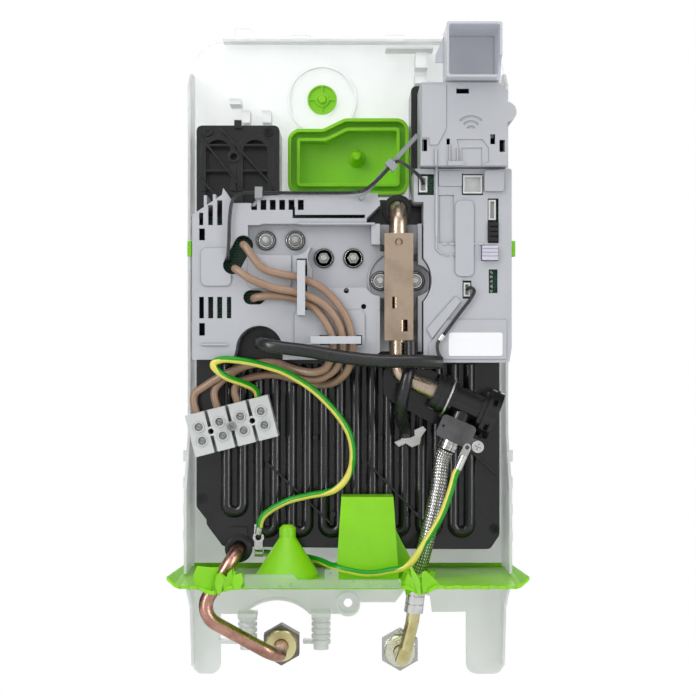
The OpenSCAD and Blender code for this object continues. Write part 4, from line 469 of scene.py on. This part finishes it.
bronze_pipe = worked_metal("bronze_pipe", screen_colour(190, 172, 152), screen_colour(128, 108, 90),
                           streak=(40, 40, 6), gloss=(0.2, 0.34), patch=(0.5, 0.8))
copper_tube = worked_metal("copper_tube", screen_colour(196, 150, 134), screen_colour(112, 78, 70),
                           streak=(30, 30, 12), gloss=(0.22, 0.38), patch=(0.4, 0.74))
warm_brass = worked_metal("warm_brass", screen_colour(226, 216, 162), screen_colour(192, 180, 128),
                          gloss=(0.12, 0.26))
NUT_HEX_FRONT = 20.1  # the cone in front of this depth is brighter than the hexagon
hot_nut_metal = worked_metal("hot_nut_metal", (0.20, 0.19, 0.17, 1), (0.12, 0.11, 0.09, 1),
                             gloss=(0.26, 0.4), front=(NUT_HEX_FRONT, screen_colour(228, 220, 168)))
cold_nut_metal = worked_metal("cold_nut_metal", (0.55, 0.55, 0.53, 1), (0.4, 0.4, 0.38, 1),
                              gloss=(0.2, 0.34), front=(NUT_HEX_FRONT, screen_colour(222, 222, 206)))
print("finishes so far:", len(bpy.data.materials))

# %% [markdown]
# A circuit board is a sheet of glass and resin under a green varnish. Copper tracks show through as
# slightly raised, lighter lines, and round pads are tinned. A brick pattern gives right-angled tracks.

# %% Green board with tracks
board_green, board_tree, board_shader, board_place = start_finish("board_green")
board_flat = board_tree.nodes.new("ShaderNodeMapping")
board_flat.inputs["Rotation"].default_value = (math.radians(90), 0, 0)
board_tree.links.new(board_place.outputs["Object"], board_flat.inputs["Vector"])
tracks = board_tree.nodes.new("ShaderNodeTexBrick")
tracks.inputs["Scale"].default_value = 130
tracks.inputs["Mortar Size"].default_value = 0.05
tracks.inputs["Color1"].default_value = (0.010, 0.075, 0.045, 1)
tracks.inputs["Color2"].default_value = (0.014, 0.095, 0.055, 1)
tracks.inputs["Mortar"].default_value = (0.035, 0.20, 0.10, 1)
board_tree.links.new(board_flat.outputs["Vector"], tracks.inputs["Vector"])
board_tree.links.new(tracks.outputs["Color"], board_shader.inputs["Base Color"])
varnish = add_noise(board_tree, board_place.outputs["Object"], 300, 3)
board_tree.links.new(add_range(board_tree, varnish, 0.2, 0.35), board_shader.inputs["Roughness"])
add_bump(board_tree, board_shader, tracks.outputs["Fac"], 0.03)
print("board finish ready")

# %% [markdown]
# ## Finishes on the CAD nodes
#
# Each CAD node keeps its mesh and takes its finish here. Assigning to the material slots is enough.

# %% Dress the CAD nodes
NODE_FINISHES = {
    frosted_white: ["back_shell"],
    lime_rubber: ["screw_hole_plug", "upper_cable_boot", "bottom_seal"],
    lime_clip: ["latch_left", "latch_right"],
    block_black: ["heater_block_rear", "heater_block_front", "cold_gland", "hot_gland", "coding_plug",
                  "reset_switch", "triacs"],
    gloss_black: ["flow_body", "flow_cap"],
    washer_black: ["terminal_rings", "nut_gaskets"],
    strap_grey: ["cable_straps"],
    panel_grey: ["electronics_panel", "control_carrier", "radio_cover"],
    display_grey: ["display_box"],
    strut_grey: ["strut", "lead_clips"],
    ivory_white: ["board_connectors", "flow_turbine"],
    block_white: ["terminal_block"],
    button_grey: ["reset_button"],
    board_green: ["power_board", "control_board", "radio_module"],
    plated_steel: ["heating_coils", "terminal_studs", "flow_spring_clip", "inlet_filter", "earth_tab",
                   "earth_lugs", "sensor_clip"],
    polished_steel: ["hose_ferrules", "clamp_screw"],
    nut_steel: ["terminal_nuts", "terminal_screws"],
    black_screw: ["block_screws"],
    hot_nut_metal: ["hot_nut"],
    cold_nut_metal: ["cold_nut"],
    dull_steel: ["clamp_plate"],
    bronze_plate: ["heat_sink_plate"],
    bronze_pipe: ["cold_pipe"],
    copper_tube: ["hot_pipe"],
    warm_brass: ["cold_elbow", "terminal_sleeves"],
}
for finish, node_names in NODE_FINISHES.items():
    for node_name in node_names:
        node_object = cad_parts[node_name]
        if not node_object.material_slots:
            node_object.data.materials.append(finish)
        for slot in node_object.material_slots:
            slot.material = finish
print("nodes dressed:", sum(len(names) for names in NODE_FINISHES.values()))

# %% [markdown]
# ## Leads, sleeves and the hose
#
# A lead is a round section carried along a smooth line. The line runs through a few points by the
# Catmull-Rom rule, and a ring of vertices is set square to it at each step. Bridging the rings makes
# the skin. Each vertex remembers how far along and how far round it is, and that becomes the UV map
# that stripes and braids are drawn with.

# %% A tube along a route
def smooth_line(points, steps):
    line = []
    for i in range(len(points) - 1):
        a, b, c, d = (Vector(points[max(0, min(j, len(points) - 1))]) for j in (i - 1, i, i + 1, i + 2))
        for k in range(steps):
            t = k / steps
            line.append((2 * b + (c - a) * t + (2 * a - 5 * b + 4 * c - d) * t * t
                         + (3 * b - a - 3 * c + d) * t ** 3) / 2)
    line.append(Vector(points[-1]))
    return line


def between(table, place):
    """The value at a place, straight between the (place, value) pairs of the table."""
    for (low, first), (high, second) in zip(table, table[1:]):
        if place <= high:
            return first + (second - first) * max(0.0, place - low) / (high - low)
    return table[-1][1]


def tube(points, radius, sides=20, steps=6, swell=None, roll=None):
    """A closed round skin along the points, in millimetres, with a UV map of round and along.

    With a roll, turn 0 faces the front and a quarter turn lies right of the run. The roll table gives
    how far the UV map is turned from there at each point of the route."""
    line = smooth_line(points, steps)
    bm = bmesh.new()
    along_layer = bm.verts.layers.float.new("along")
    round_layer = bm.verts.layers.float.new("around")
    uv_layer = bm.loops.layers.uv.new("UVMap")
    rings = []
    travelled = 0.0
    side = None
    for i, point in enumerate(line):
        ahead = (line[min(i + 1, len(line) - 1)] - line[max(i - 1, 0)]).normalized()
        if roll and abs(ahead.y) < 0.96:
            side = Vector((0, -1, 0))
        elif side is None:
            side = Vector((1, 0, 0)) if abs(ahead.x) < 0.8 else Vector((0, 1, 0))
        side = (side - ahead * side.dot(ahead)).normalized()
        up = ahead.cross(side)
        if i:
            travelled += (point - line[i - 1]).length
        stand = Matrix((side, up, ahead)).transposed().to_4x4()
        stand.translation = point
        ring = bmesh.ops.create_circle(bm, segments=sides, radius=radius, matrix=stand)["verts"]
        for k, vert in enumerate(ring):
            vert[along_layer] = travelled
            spoke = vert.co - point
            turned = math.atan2(spoke.dot(up), spoke.dot(side)) / (2 * math.pi)
            vert[round_layer] = (turned - between(roll, i / steps)) % 1 if roll else k / sides
            if swell:
                vert.co = point + (vert.co - point) * (1 + swell(k / sides, travelled) / radius)
        rings.append(ring)
    for first, second in zip(rings, rings[1:]):
        bridge(bm, first, second)
    for ring in (rings[0], rings[-1]):
        edges = [bm.edges.get((ring[k], ring[(k + 1) % sides])) for k in range(sides)]
        bmesh.ops.holes_fill(bm, edges=edges, sides=0)
    bmesh.ops.recalc_face_normals(bm, faces=bm.faces)
    for face in bm.faces:
        turns = [loop.vert[round_layer] for loop in face.loops]
        wraps = max(turns) - min(turns) > 0.5
        for loop in face.loops:
            turn = loop.vert[round_layer]
            if wraps and turn < 0.5:
                turn += 1
            loop[uv_layer].uv = (turn, loop.vert[along_layer] * MM)
    return bm


# %% [markdown]
# The three brown leads come out of the wiring panel, pass under its straps and drop into the supply
# terminal block. They are PVC-coated copper, so the skin is smooth with a slight waxy gloss.

# %% Brown heater leads
LEAD_R = 2.7
FIRST_LEAD = [(-73, -60.9, 72), (-73, -72, 72), (-73, -82, 72), (-70.5, -89, 69.5), (-60, -91, 56),
              (-46, -90.5, 51), (-33, -90, 48.4), (-16, -90, 40), (-2, -90, 23), (3, -89.5, 5.5),
              (2, -88, -8), (-2, -80.5, -18), (-12, -70, -25), (-26, -63, -25.5), (-40, -60, -21.5),
              (-52, -59.5, -19), (-62, -59.8, -19.5), (-71, -61, -21.5), (-78, -62.8, -25),
              (-80.3, -63.6, -31), (-78.1, -63.6, -38.3), (-76.6, -63.6, -44.1)]
SECOND_LEAD = [(-78.6, -60.9, 55.1), (-78.6, -72, 55.1), (-78.6, -82, 55.1), (-77, -89, 54.2),
               (-66, -91.8, 47), (-50, -91.9, 41.2), (-34.5, -91.8, 38.3), (-16.5, -91, 30),
               (-6, -90, 16), (-3.5, -89.5, 2), (-5.5, -88, -9), (-12, -80.5, -17.5),
               (-24, -73.5, -22.5), (-38, -68, -19), (-50, -66.5, -12.5), (-62, -65.5, -10.5),
               (-74, -64, -13.5), (-86, -63.6, -20.5), (-93.5, -63.6, -28), (-94.6, -63.6, -34.3),
               (-92.6, -63.6, -42.1), (-91.2, -63.6, -47.9)]
THIRD_LEAD = [(-65.5, -60.9, 34.5), (-65.5, -72, 34.5), (-65.5, -82, 34.5), (-62, -87.1, 35.4),
              (-50, -87.2, 36.4), (-34.5, -87.2, 33.6), (-24, -88.3, 28), (-17, -88.9, 20),
              (-12, -89.2, 11), (-10, -89.3, 2), (-12.5, -89, -9), (-17, -84.5, -15), (-26, -79.5, -17),
              (-38, -75.5, -14.5), (-50, -73.5, -10.5), (-62, -72.5, -10.5), (-76, -71, -14),
              (-90, -68.5, -20), (-102, -65.5, -27.5), (-108, -64, -32), (-109.2, -63.6, -38.1),
              (-107.2, -63.6, -45.8), (-105.7, -63.6, -51.6)]
first_lead = piece_from(tube(FIRST_LEAD, LEAD_R), "brown_lead_1", lead_brown)
second_lead = piece_from(tube(SECOND_LEAD, LEAD_R), "brown_lead_2", lead_brown)
third_lead = piece_from(tube(THIRD_LEAD, LEAD_R), "brown_lead_3", lead_brown)
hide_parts("heater_leads")
for lead_piece in (first_lead, second_lead, third_lead):
    print(lead_piece.name, "faces:", len(lead_piece.data.polygons))

# %% [markdown]
# Earth leads are green on one side and yellow on the other. The colours are part of the extruded skin,
# so they follow the UV map: a ramp on the share of the turn switches them. Each lead is twisted once
# where it was bent into place, so the roll table turns the yellow side over there.

# %% Green and yellow skin
EARTH_R = 2.4
YELLOW_SHARE = 0.46
SHARP_EDGE = 0.01  # share of the turn in which one colour becomes the other

earth_skin, earth_tree, earth_shader, earth_place = start_finish("earth_skin")
earth_split = earth_tree.nodes.new("ShaderNodeSeparateXYZ")
earth_tree.links.new(earth_place.outputs["UV"], earth_split.inputs[0])
earth_turn = add_math(earth_tree, "FRACT", earth_split.outputs["X"])
earth_tint = add_noise(earth_tree, earth_place.outputs["Object"], 90, 4)
earth_turn = add_math(earth_tree, "ADD", earth_turn, add_range(earth_tree, earth_tint, -0.012, 0.012))
GREEN = screen_colour(10, 152, 12)
YELLOW = screen_colour(234, 222, 98)
earth_tone = add_ramp(earth_tree, earth_turn, [
    (YELLOW_SHARE / 2 - SHARP_EDGE, YELLOW), (YELLOW_SHARE / 2 + SHARP_EDGE, GREEN),
    (1 - YELLOW_SHARE / 2 - SHARP_EDGE, GREEN), (1 - YELLOW_SHARE / 2 + SHARP_EDGE, YELLOW)])
earth_tree.links.new(earth_tone, earth_shader.inputs["Base Color"])
earth_wear = add_noise(earth_tree, earth_place.outputs["Object"], 200, 4)
earth_tree.links.new(add_range(earth_tree, earth_wear, 0.26, 0.4), earth_shader.inputs["Roughness"])
add_bump(earth_tree, earth_shader, add_noise(earth_tree, earth_place.outputs["Object"], 500, 2), 0.02)
print("yellow share of the turn:", YELLOW_SHARE)

# %% [markdown]
# The long lead loops over the block to the earth tab of the hot pipe. The short one runs along the seal
# and up beside the hose to the clamp plate.

# %% Earth leads
LONG_EARTH = [(-62.1, -63.6, -40.4), (-63.6, -63.6, -34.6), (-66, -66, -29), (-74, -74.5, -24.5),
              (-84, -83, -20.5), (-92, -87, -14.5), (-93, -87.5, -10.5), (-87, -87.5, -8),
              (-77, -86.5, -8.5), (-61, -84, -11.5), (-41, -81, -18.5), (-20, -78, -33),
              (-2.5, -75, -53.5), (3.3, -72.5, -71), (1, -70.5, -88), (-9.5, -69, -100),
              (-27, -67.5, -104), (-41, -66, -107.5), (-52, -63, -113), (-59.5, -61.2, -118.6),
              (-62.1, -60.4, -123.1), (-62.8, -59.8, -127)]
SHORT_EARTH = [(-60.6, -47, -147), (-52, -46, -148), (-42, -45, -149.5), (-31, -48, -150),
               (-21, -58, -151), (-14, -72, -152), (-9, -82, -152.5), (0, -85.5, -154.5),
               (14, -86, -156.5), (28, -87, -154.5), (42, -90, -150), (54, -93, -133),
               (63.7, -95, -116.5), (70, -96, -100), (73.4, -96, -87.9), (75.28, -96, -83.72)]
LONG_ROLL = [(0, -0.25), (4.5, -0.25), (7, 0.25), (13.6, 0.25), (15.6, -0.25), (21, -0.25)]
SHORT_ROLL = [(0, 0.25), (9.3, 0.25), (11, -0.25), (15, -0.25)]
EARTH_SIDES = 28
EARTH_STEPS = 8
long_earth = piece_from(tube(LONG_EARTH, EARTH_R, EARTH_SIDES, EARTH_STEPS, roll=LONG_ROLL),
                        "long_earth_lead", earth_skin)
short_earth = piece_from(tube(SHORT_EARTH, EARTH_R, EARTH_SIDES, EARTH_STEPS, roll=SHORT_ROLL),
                         "short_earth_lead", earth_skin)
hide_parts("earth_lead_long")
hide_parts("earth_lead_short")
print("earth leads made")

# %% [markdown]
# Black sleeves protect the thin sensor leads. A thick one crosses the panel and a short one drops
# from behind the heat-sink plate into its clip. The thin leads are pairs of wires side by side.

# %% Black sleeves and thin leads
PANEL_SLEEVE = [(-62, -50.3, 3), (-62, -62, 3.5), (-62, -76, 4), (-61, -88, 3.5), (-55.5, -97, 2),
                (-44, -99.5, 0), (-28, -99, -2), (-12, -98.5, -5), (6, -99, -7.5), (26, -101, -9),
                (44, -101.5, -9), (56, -100, -9.5), (64, -98, -10)]
SENSOR_SLEEVE = [(43.4, -87.8, 4.4), (43.5, -88, 0), (43.4, -88.8, -7), (42.4, -91, -14),
                 (40.5, -93, -22), (38, -90.5, -33), (37, -82, -43), (37.6, -73, -50),
                 (39.5, -66, -54.5), (41, -62, -58.6), (41.5, -61, -63.1)]
UPPER_THIN = [(52, -91.5, 113), (50.5, -95.5, 116.5), (46, -96, 121), (39, -94.5, 126.5),
              (34.5, -93.2, 128.8), (30, -93, 126), (26, -93, 121.8), (18, -92.6, 113.8),
              (11, -92.4, 109), (2, -89, 107.6), (-20, -86.7, 107.6), (-45, -86.6, 107.6),
              (-62, -86.6, 107.7), (-74, -86.8, 107.2), (-80, -87.5, 102), (-82, -88, 90),
              (-82.5, -88, 75), (-83, -88.3, 66), (-83.3, -87.2, 61.8), (-83.4, -82, 61.2),
              (-83.4, -60.9, 61.2)]
LOWER_THIN = [(82.1, -92.3, 40.3), (82.1, -94.8, 40.4), (84.5, -96.5, 41.5), (86.8, -95.6, 39.5),
              (84.5, -94.8, 34), (75, -94.8, 21.5), (67, -95, 10.5), (62, -95.4, 4),
              (61.6, -96.6, -2), (63.6, -97.8, -7), (64.4, -97.9, -9.6)]
PANEL_SLEEVE_R = 4.6
SENSOR_SLEEVE_R = 4.4
SLEEVE_SIDES = 28
panel_sleeve = piece_from(tube(PANEL_SLEEVE, PANEL_SLEEVE_R, SLEEVE_SIDES), "panel_sleeve_skin",
                          sleeve_black)
sensor_sleeve = piece_from(tube(SENSOR_SLEEVE, SENSOR_SLEEVE_R, SLEEVE_SIDES), "sensor_sleeve_skin",
                           sleeve_black)
WIRE_R = 0.66
WIRE_SIDES = 12
WIRES_APART = 1.12


def wire_pair(points):
    """Two thin wires that run side by side along the points."""
    both = bmesh.new()
    across = Vector((1, 0, 0))
    for way in (-1, 1):
        moved = []
        for i, point in enumerate(points):
            ahead = Vector(points[min(i + 1, len(points) - 1)]) - Vector(points[max(i - 1, 0)])
            square = ahead.cross(Vector((0, 1, 0)))
            if square.length > 0.3 * ahead.length:
                across = square.normalized()
            moved.append(Vector(point) + across * way * WIRES_APART / 2)
        wire = bpy.data.meshes.new("wire")
        tube(moved, WIRE_R, WIRE_SIDES).to_mesh(wire)
        both.from_mesh(wire)
        bpy.data.meshes.remove(wire)
    return both


upper_thin = piece_from(wire_pair(UPPER_THIN), "upper_sensor_lead", sleeve_black)
lower_thin = piece_from(wire_pair(LOWER_THIN), "lower_sensor_lead", sleeve_black)
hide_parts("panel_sleeve")
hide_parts("sensor_sleeve")
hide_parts("sensor_leads")
print("sleeves made")

# %% [markdown]
# The inlet hose is a rubber tube in a braid of steel wire. Two families of flat strands wind round it
# in opposite directions and pass over and under each other. The weave is pressed into the skin: each
# vertex is lifted by the height of whichever strand is on top there.

# %% Braided inlet hose
HOSE_R = 5.5
HOSE = [(68.48, -80, -71.49), (65.55, -78.98, -78.73), (63.17, -81.92, -95.62),
        (58.27, -82.45, -119.75), (51.95, -79.01, -145.8), (48.89, -73.85, -159.31),
        (48.05, -71.7, -168)]
HOSE_SIDES = 162
HOSE_STEPS = 50
STRANDS = 18
STRAND_PITCH = 2 * math.pi * HOSE_R / STRANDS
STRAND_SLOPE = 0.9
BRAID_DEPTH = 0.42


def braid_height(turn, along):
    right = turn * STRANDS + along / STRAND_PITCH * STRAND_SLOPE
    left = turn * STRANDS - along / STRAND_PITCH * STRAND_SLOPE
    right_on_top = (math.floor(right) + math.floor(left)) % 2 == 0
    top = right if right_on_top else left
    return BRAID_DEPTH * (math.sin(math.pi * (top % 1)) ** 0.6 - 1)


hose_bm = tube(HOSE, HOSE_R, HOSE_SIDES, HOSE_STEPS, braid_height)
print("hose faces:", len(hose_bm.faces))

# %% [markdown]
# The wire's colour follows the same weave as its height. The shader works out which strand is on top
# from the UV map. It paints a highlight on the strand's crown and paints shade into the gaps between
# the strands. The strands of one family get a painted shade as well.

# %% Steel of the braid
braid_steel, braid_tree, braid_shader, braid_place = start_finish("braid_steel")
braid_shader.inputs["Metallic"].default_value = 1.0
braid_split = braid_tree.nodes.new("ShaderNodeSeparateXYZ")
braid_tree.links.new(braid_place.outputs["UV"], braid_split.inputs[0])
round_share = add_math(braid_tree, "MULTIPLY", braid_split.outputs["X"], STRANDS)
along_share = add_math(braid_tree, "MULTIPLY", braid_split.outputs["Y"],
                       STRAND_SLOPE / (STRAND_PITCH * MM))
right_way = add_math(braid_tree, "ADD", round_share, along_share)
left_way = add_math(braid_tree, "SUBTRACT", round_share, along_share)
cells = add_math(braid_tree, "ADD", add_math(braid_tree, "FLOOR", right_way),
                 add_math(braid_tree, "FLOOR", left_way))
half_cells = add_math(braid_tree, "FRACT", add_math(braid_tree, "MULTIPLY", cells, 0.5))
left_on_top = add_math(braid_tree, "GREATER_THAN", half_cells, 0.25)
right_part = add_math(braid_tree, "FRACT", right_way)
left_part = add_math(braid_tree, "FRACT", left_way)
gap_part = add_math(braid_tree, "SUBTRACT", left_part, right_part)
top_part = add_math(braid_tree, "ADD", right_part,
                    add_math(braid_tree, "MULTIPLY", gap_part, left_on_top))
off_crown = add_math(braid_tree, "ABSOLUTE", add_math(braid_tree, "SUBTRACT", top_part, 0.5))
# painted highlight on the crown of each strand, painted shade at its edges
strand_highlight_and_shade = add_ramp(braid_tree, off_crown, [(0.13, (0.95, 0.95, 0.93, 1)),
                                               (0.42, (0.03, 0.03, 0.028, 1))])
# painted shade: the strands of one family are darker where they lie on top
painted_family_shade = add_ramp(braid_tree, left_on_top, [(0.0, (1, 1, 1, 1)), (1.0, (0.34, 0.34, 0.33, 1))])
braid_mix = braid_tree.nodes.new("ShaderNodeMix")
braid_mix.data_type = "RGBA"
braid_mix.blend_type = "MULTIPLY"
braid_mix.inputs[0].default_value = 1.0
braid_tree.links.new(strand_highlight_and_shade, braid_mix.inputs[6])
braid_tree.links.new(painted_family_shade, braid_mix.inputs[7])
braid_tree.links.new(braid_mix.outputs[2], braid_shader.inputs["Base Color"])
braid_wear = add_noise(braid_tree, braid_place.outputs["Object"], 260, 4)
braid_tree.links.new(add_range(braid_tree, braid_wear, 0.2, 0.36), braid_shader.inputs["Roughness"])
add_bump(braid_tree, braid_shader, braid_wear, 0.01)

hose_skin = piece_from(hose_bm, "braided_hose", braid_steel, smooth=180)
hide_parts("inlet_hose")
print(hose_skin.name, "material nodes:", len(braid_tree.nodes))

# %% [markdown]
# ## Trim on the terminals
#
# Each coil terminal has a bright washer under its nut, and a thin bright ring on its rubber seal is a
# painted reflection.

# %% Washers of the terminals and painted reflections on their seals
STUD_SPOTS = [(-57.54, 75.36), (-36.94, 75.36), (-16.94, 62.88), (3.66, 62.88), (22.62, 47.04),
              (47.02, 47.04)]
WASHER = [(4.1, 74.0), (5.1, 74.0), (5.1, 74.6), (4.9, 74.8), (4.1, 74.8)]  # radius, depth
# painted reflection: a thin bright ring where light catches the rubber lip of each seal
SEAL_LIP_REFLECTION = [(5.75, 76.0), (6.15, 76.0), (6.05, 76.25), (5.85, 76.25)]
washer_and_reflection_bm = bmesh.new()
for spot in STUD_SPOTS:
    turned_ring(washer_and_reflection_bm, spot, WASHER)
    turned_ring(washer_and_reflection_bm, spot, SEAL_LIP_REFLECTION)
washers_and_seal_reflections = piece_from(washer_and_reflection_bm, "washers_and_seal_reflections", bright_washer)
print(washers_and_seal_reflections.name, "faces:", len(washers_and_seal_reflections.data.polygons))

# %% [markdown]
# On the supply terminal block a low collar stands round each screw, so a screwdriver can't slip off.

# %% Collars round the supply screws
SUPPLY_SPOT = (-81.64, -54.7)
SUPPLY_TILT = math.radians(14.4)
SUPPLY_FRONT = 74.6
POLE_PLACES = (-22.5, -7.5, 7.5, 22.5)
SCREW_ROWS = (-5, 5)
COLLAR = [(2.75, SUPPLY_FRONT - 0.2), (4.0, SUPPLY_FRONT - 0.2), (3.75, SUPPLY_FRONT + 1.1),
          (2.95, SUPPLY_FRONT + 1.1)]
collars_bm = bmesh.new()
for across in POLE_PLACES:
    for up in SCREW_ROWS:
        spot = (SUPPLY_SPOT[0] + across * math.cos(SUPPLY_TILT) - up * math.sin(SUPPLY_TILT),
                SUPPLY_SPOT[1] + across * math.sin(SUPPLY_TILT) + up * math.cos(SUPPLY_TILT))
        turned_ring(collars_bm, spot, COLLAR)
supply_collars = piece_from(collars_bm, "supply_collars", block_white)
print(supply_collars.name, "faces:", len(supply_collars.data.polygons))

# %% [markdown]
# ## Small trim of the control carrier
#
# A sealing bead runs down the carrier and then to the right in dashes; a thin paler strip laid on it is
# a painted highlight. Below it sits a bare label plate. Solder dots show on the strip of board at the
# edge, and thin metal bands hold the wire pairs.

# %% Painted highlight on the bead, and the label plate
CARRIER_FRONT = 92.8
# painted highlight: a paler strip that lies on top of the sealing bead
bead_line = rounded_outline(60.3, 61.8, 76.5, 137, radius=0.7)
DASH_STARTS = range(65, 91, 5)
DASH_L = 3.2
bead_bm = bmesh.new()
plate(bead_bm, bead_line, CARRIER_FRONT - 0.4, CARRIER_FRONT + 0.5)
for left in DASH_STARTS:
    dash = rounded_outline(left, left + DASH_L, 71.2, 72.6, radius=0.6)
    plate(bead_bm, dash, CARRIER_FRONT - 1.2, CARRIER_FRONT + 0.3)
bead_highlight = piece_from(bead_bm, "sealing_bead_highlight", strap_grey)

label_outline = rounded_outline(69.4, 106.6, -5.5, 10.7, radius=1.6)
label_bm = bmesh.new()
plate(label_bm, label_outline, CARRIER_FRONT - 0.1, CARRIER_FRONT + 0.25)
label_plate = piece_from(label_bm, "bare_label_plate", label_white)
print("plates:", bead_highlight.name, label_plate.name)

# %% [markdown]
# A solder dot is a low dome with a dimple where the wire ends. A band is a short metal tube that holds
# the two thin wires of a lead together.

# %% Solder dots and wire bands
DOT_X = 100.2
DOT_HEIGHTS = (52.2, 49.5, 46.8, 44.2, 41.6, 39.2)
DOT_PROFILE = [(0.25, 83.7), (0.95, 83.7), (0.8, 84.2), (0.25, 84.4)]
dots_bm = bmesh.new()
for height in DOT_HEIGHTS:
    turned_ring(dots_bm, (DOT_X, height), DOT_PROFILE, sides=20)
solder_dots = piece_from(dots_bm, "solder_dots", bright_washer)

BANDS = [((62.9, -95.2, 5.2), (65.6, -95.1, 8.8), 1.75),  # start, end, radius
         ((30.4, -93.0, 126.3), (32.6, -93.1, 127.6), 1.8)]
bands_bm = bmesh.new()
for start, end, radius in BANDS:
    band_mesh = bpy.data.meshes.new("band")
    tube([start, end], radius, 20, 4).to_mesh(band_mesh)
    bands_bm.from_mesh(band_mesh)
    bpy.data.meshes.remove(band_mesh)
wire_bands = piece_from(bands_bm, "wire_bands", bright_washer)
print("small metal:", solder_dots.name, wire_bands.name)

# %% [markdown]
# ## Petals of the bottom seal
#
# Where a pipe passes the rubber seal, the hole is slit into pointed petals that hug the pipe. Some
# stand up and some are pushed down.

# %% Rubber petals round the pipes
PIPE_CROSSINGS = [(-91.0, 68.0, -163.0, 9.0), (49.6, 75.4, -163.0, 8.5)]  # x, depth, z, base radius
PETAL_W = 4.2
PETAL_T = 0.9
FIRST_PETAL_TURN = 20
PETAL_SHAPES = [(5, 8), (3, -7), (6, 6), (3, 9), (4, -9), (6, 5), (2, 8)]  # reach and rise


def petal(bm, crossing, angle, reach, rise):
    x, depth, z, base = crossing
    out = Vector((math.cos(math.radians(angle)), math.sin(math.radians(angle)), 0))
    across = Vector((-out.y, out.x, 0))
    middle = Vector((x, -depth, z))
    root = middle + out * base
    bend = middle + out * (base + reach * 0.35) + Vector((0, 0, rise * 0.7))
    tip = middle + out * (base + reach) + Vector((0, 0, rise))
    thick = out * PETAL_T
    outline = [root - across * PETAL_W, bend - across * PETAL_W * 0.8, tip,
               bend + across * PETAL_W * 0.8, root + across * PETAL_W]
    inner = [bm.verts.new(point) for point in outline]
    outer = [bm.verts.new(point + thick) for point in outline]
    bm.faces.new(inner)
    bm.faces.new(list(reversed(outer)))
    count = len(outline)
    for k in range(count):
        bm.faces.new((inner[k], outer[k], outer[(k + 1) % count], inner[(k + 1) % count]))
    bmesh.ops.recalc_face_normals(bm, faces=bm.faces)


petals_bm = bmesh.new()
for crossing in PIPE_CROSSINGS:
    for k, (reach, rise) in enumerate(PETAL_SHAPES):
        petal(petals_bm, crossing, FIRST_PETAL_TURN + 360 * k / len(PETAL_SHAPES), reach, rise)
seal_petals = piece_from(petals_bm, "seal_petals", lime_rubber, smooth=25)
print(seal_petals.name, "faces:", len(seal_petals.data.polygons))

# %% [markdown]
# The slits run on to the front edge of the seal, so the rubber there folds into flaps. Each flap is a
# thin leaf that leans a little, and the lean gives it its own shade of green.

# %% Flaps at the front edge of the seal
FLAPS = [  # depth, lean along x, lean along z, outline of (x, z)
    (113.2, 0.50, 0.2, [(-89.7, -154), (-85.8, -151.5), (-83.7, -157.5), (-87.1, -168.5),
                        (-90.2, -162)]),
    (111.8, -0.60, 0.3, [(-85.8, -151.9), (-82.4, -155.3), (-78.8, -150), (-77.6, -164),
                         (-84, -165.5)]),
    (111.6, 0.55, -0.3, [(-78.0, -148.9), (-76.7, -154), (-72, -152.3), (-71.1, -158), (-73, -163.6),
                         (-79, -164.2)]),
    (110.6, -0.25, 0.5, [(-104.8, -154), (-102.2, -147.5), (-92.7, -148.9), (-87.5, -148.9),
                         (-89.3, -154), (-93.6, -165), (-104, -163.8)]),
    (113.0, 0.45, 0.1, [(41.8, -148.5), (43.5, -148.8), (48.6, -157), (49.4, -167.6), (47.6, -168),
                        (44.6, -160)]),
    (111.4, -0.50, 0.3, [(49.8, -152), (52.4, -150.5), (58, -156), (64, -162.8), (50.6, -166.2)]),
    (111.2, 0.40, 0.3, [(40.6, -152), (43.8, -158), (46.6, -166.4), (37, -163.4)]),
]
FLAP_T = 0.9
flaps_bm = bmesh.new()
for depth, lean_x, lean_z, outline in FLAPS:
    mid_x = sum(x for x, z in outline) / len(outline)
    mid_z = sum(z for x, z in outline) / len(outline)
    leaf = [(x, -depth - lean_x * (x - mid_x) - lean_z * (z - mid_z) / 2, z) for x, z in outline]
    face = flaps_bm.faces.new([flaps_bm.verts.new(point) for point in leaf])
    grown = bmesh.ops.extrude_face_region(flaps_bm, geom=[face])["geom"]
    raised = [item for item in grown if isinstance(item, bmesh.types.BMVert)]
    bmesh.ops.translate(flaps_bm, verts=raised, vec=(0, FLAP_T, 0))
bmesh.ops.recalc_face_normals(flaps_bm, faces=flaps_bm.faces)
seal_flaps = piece_from(flaps_bm, "seal_flaps", lime_rubber, smooth=25)
print(seal_flaps.name, "faces:", len(seal_flaps.data.polygons))

# %% [markdown]
# A frosted rail of the shell stands on the front edge of the seal, between the two pipes.

# %% Frosted rail on the seal
RAIL = [(-70, -162.6), (36, -162.6), (36, -157), (-6.5, -157), (-6.5, -150), (-15.8, -150),
        (-15.8, -157), (-34, -157), (-37, -153.4), (-70, -153.4)]
RAIL_BACK = 112.1
RAIL_FRONT = 113.3
rail_bm = bmesh.new()
plate(rail_bm, RAIL, RAIL_BACK, RAIL_FRONT)
seal_rail = piece_from(rail_bm, "frosted_rail", frosted_clear)
print(seal_rail.name, "faces:", len(seal_rail.data.polygons))
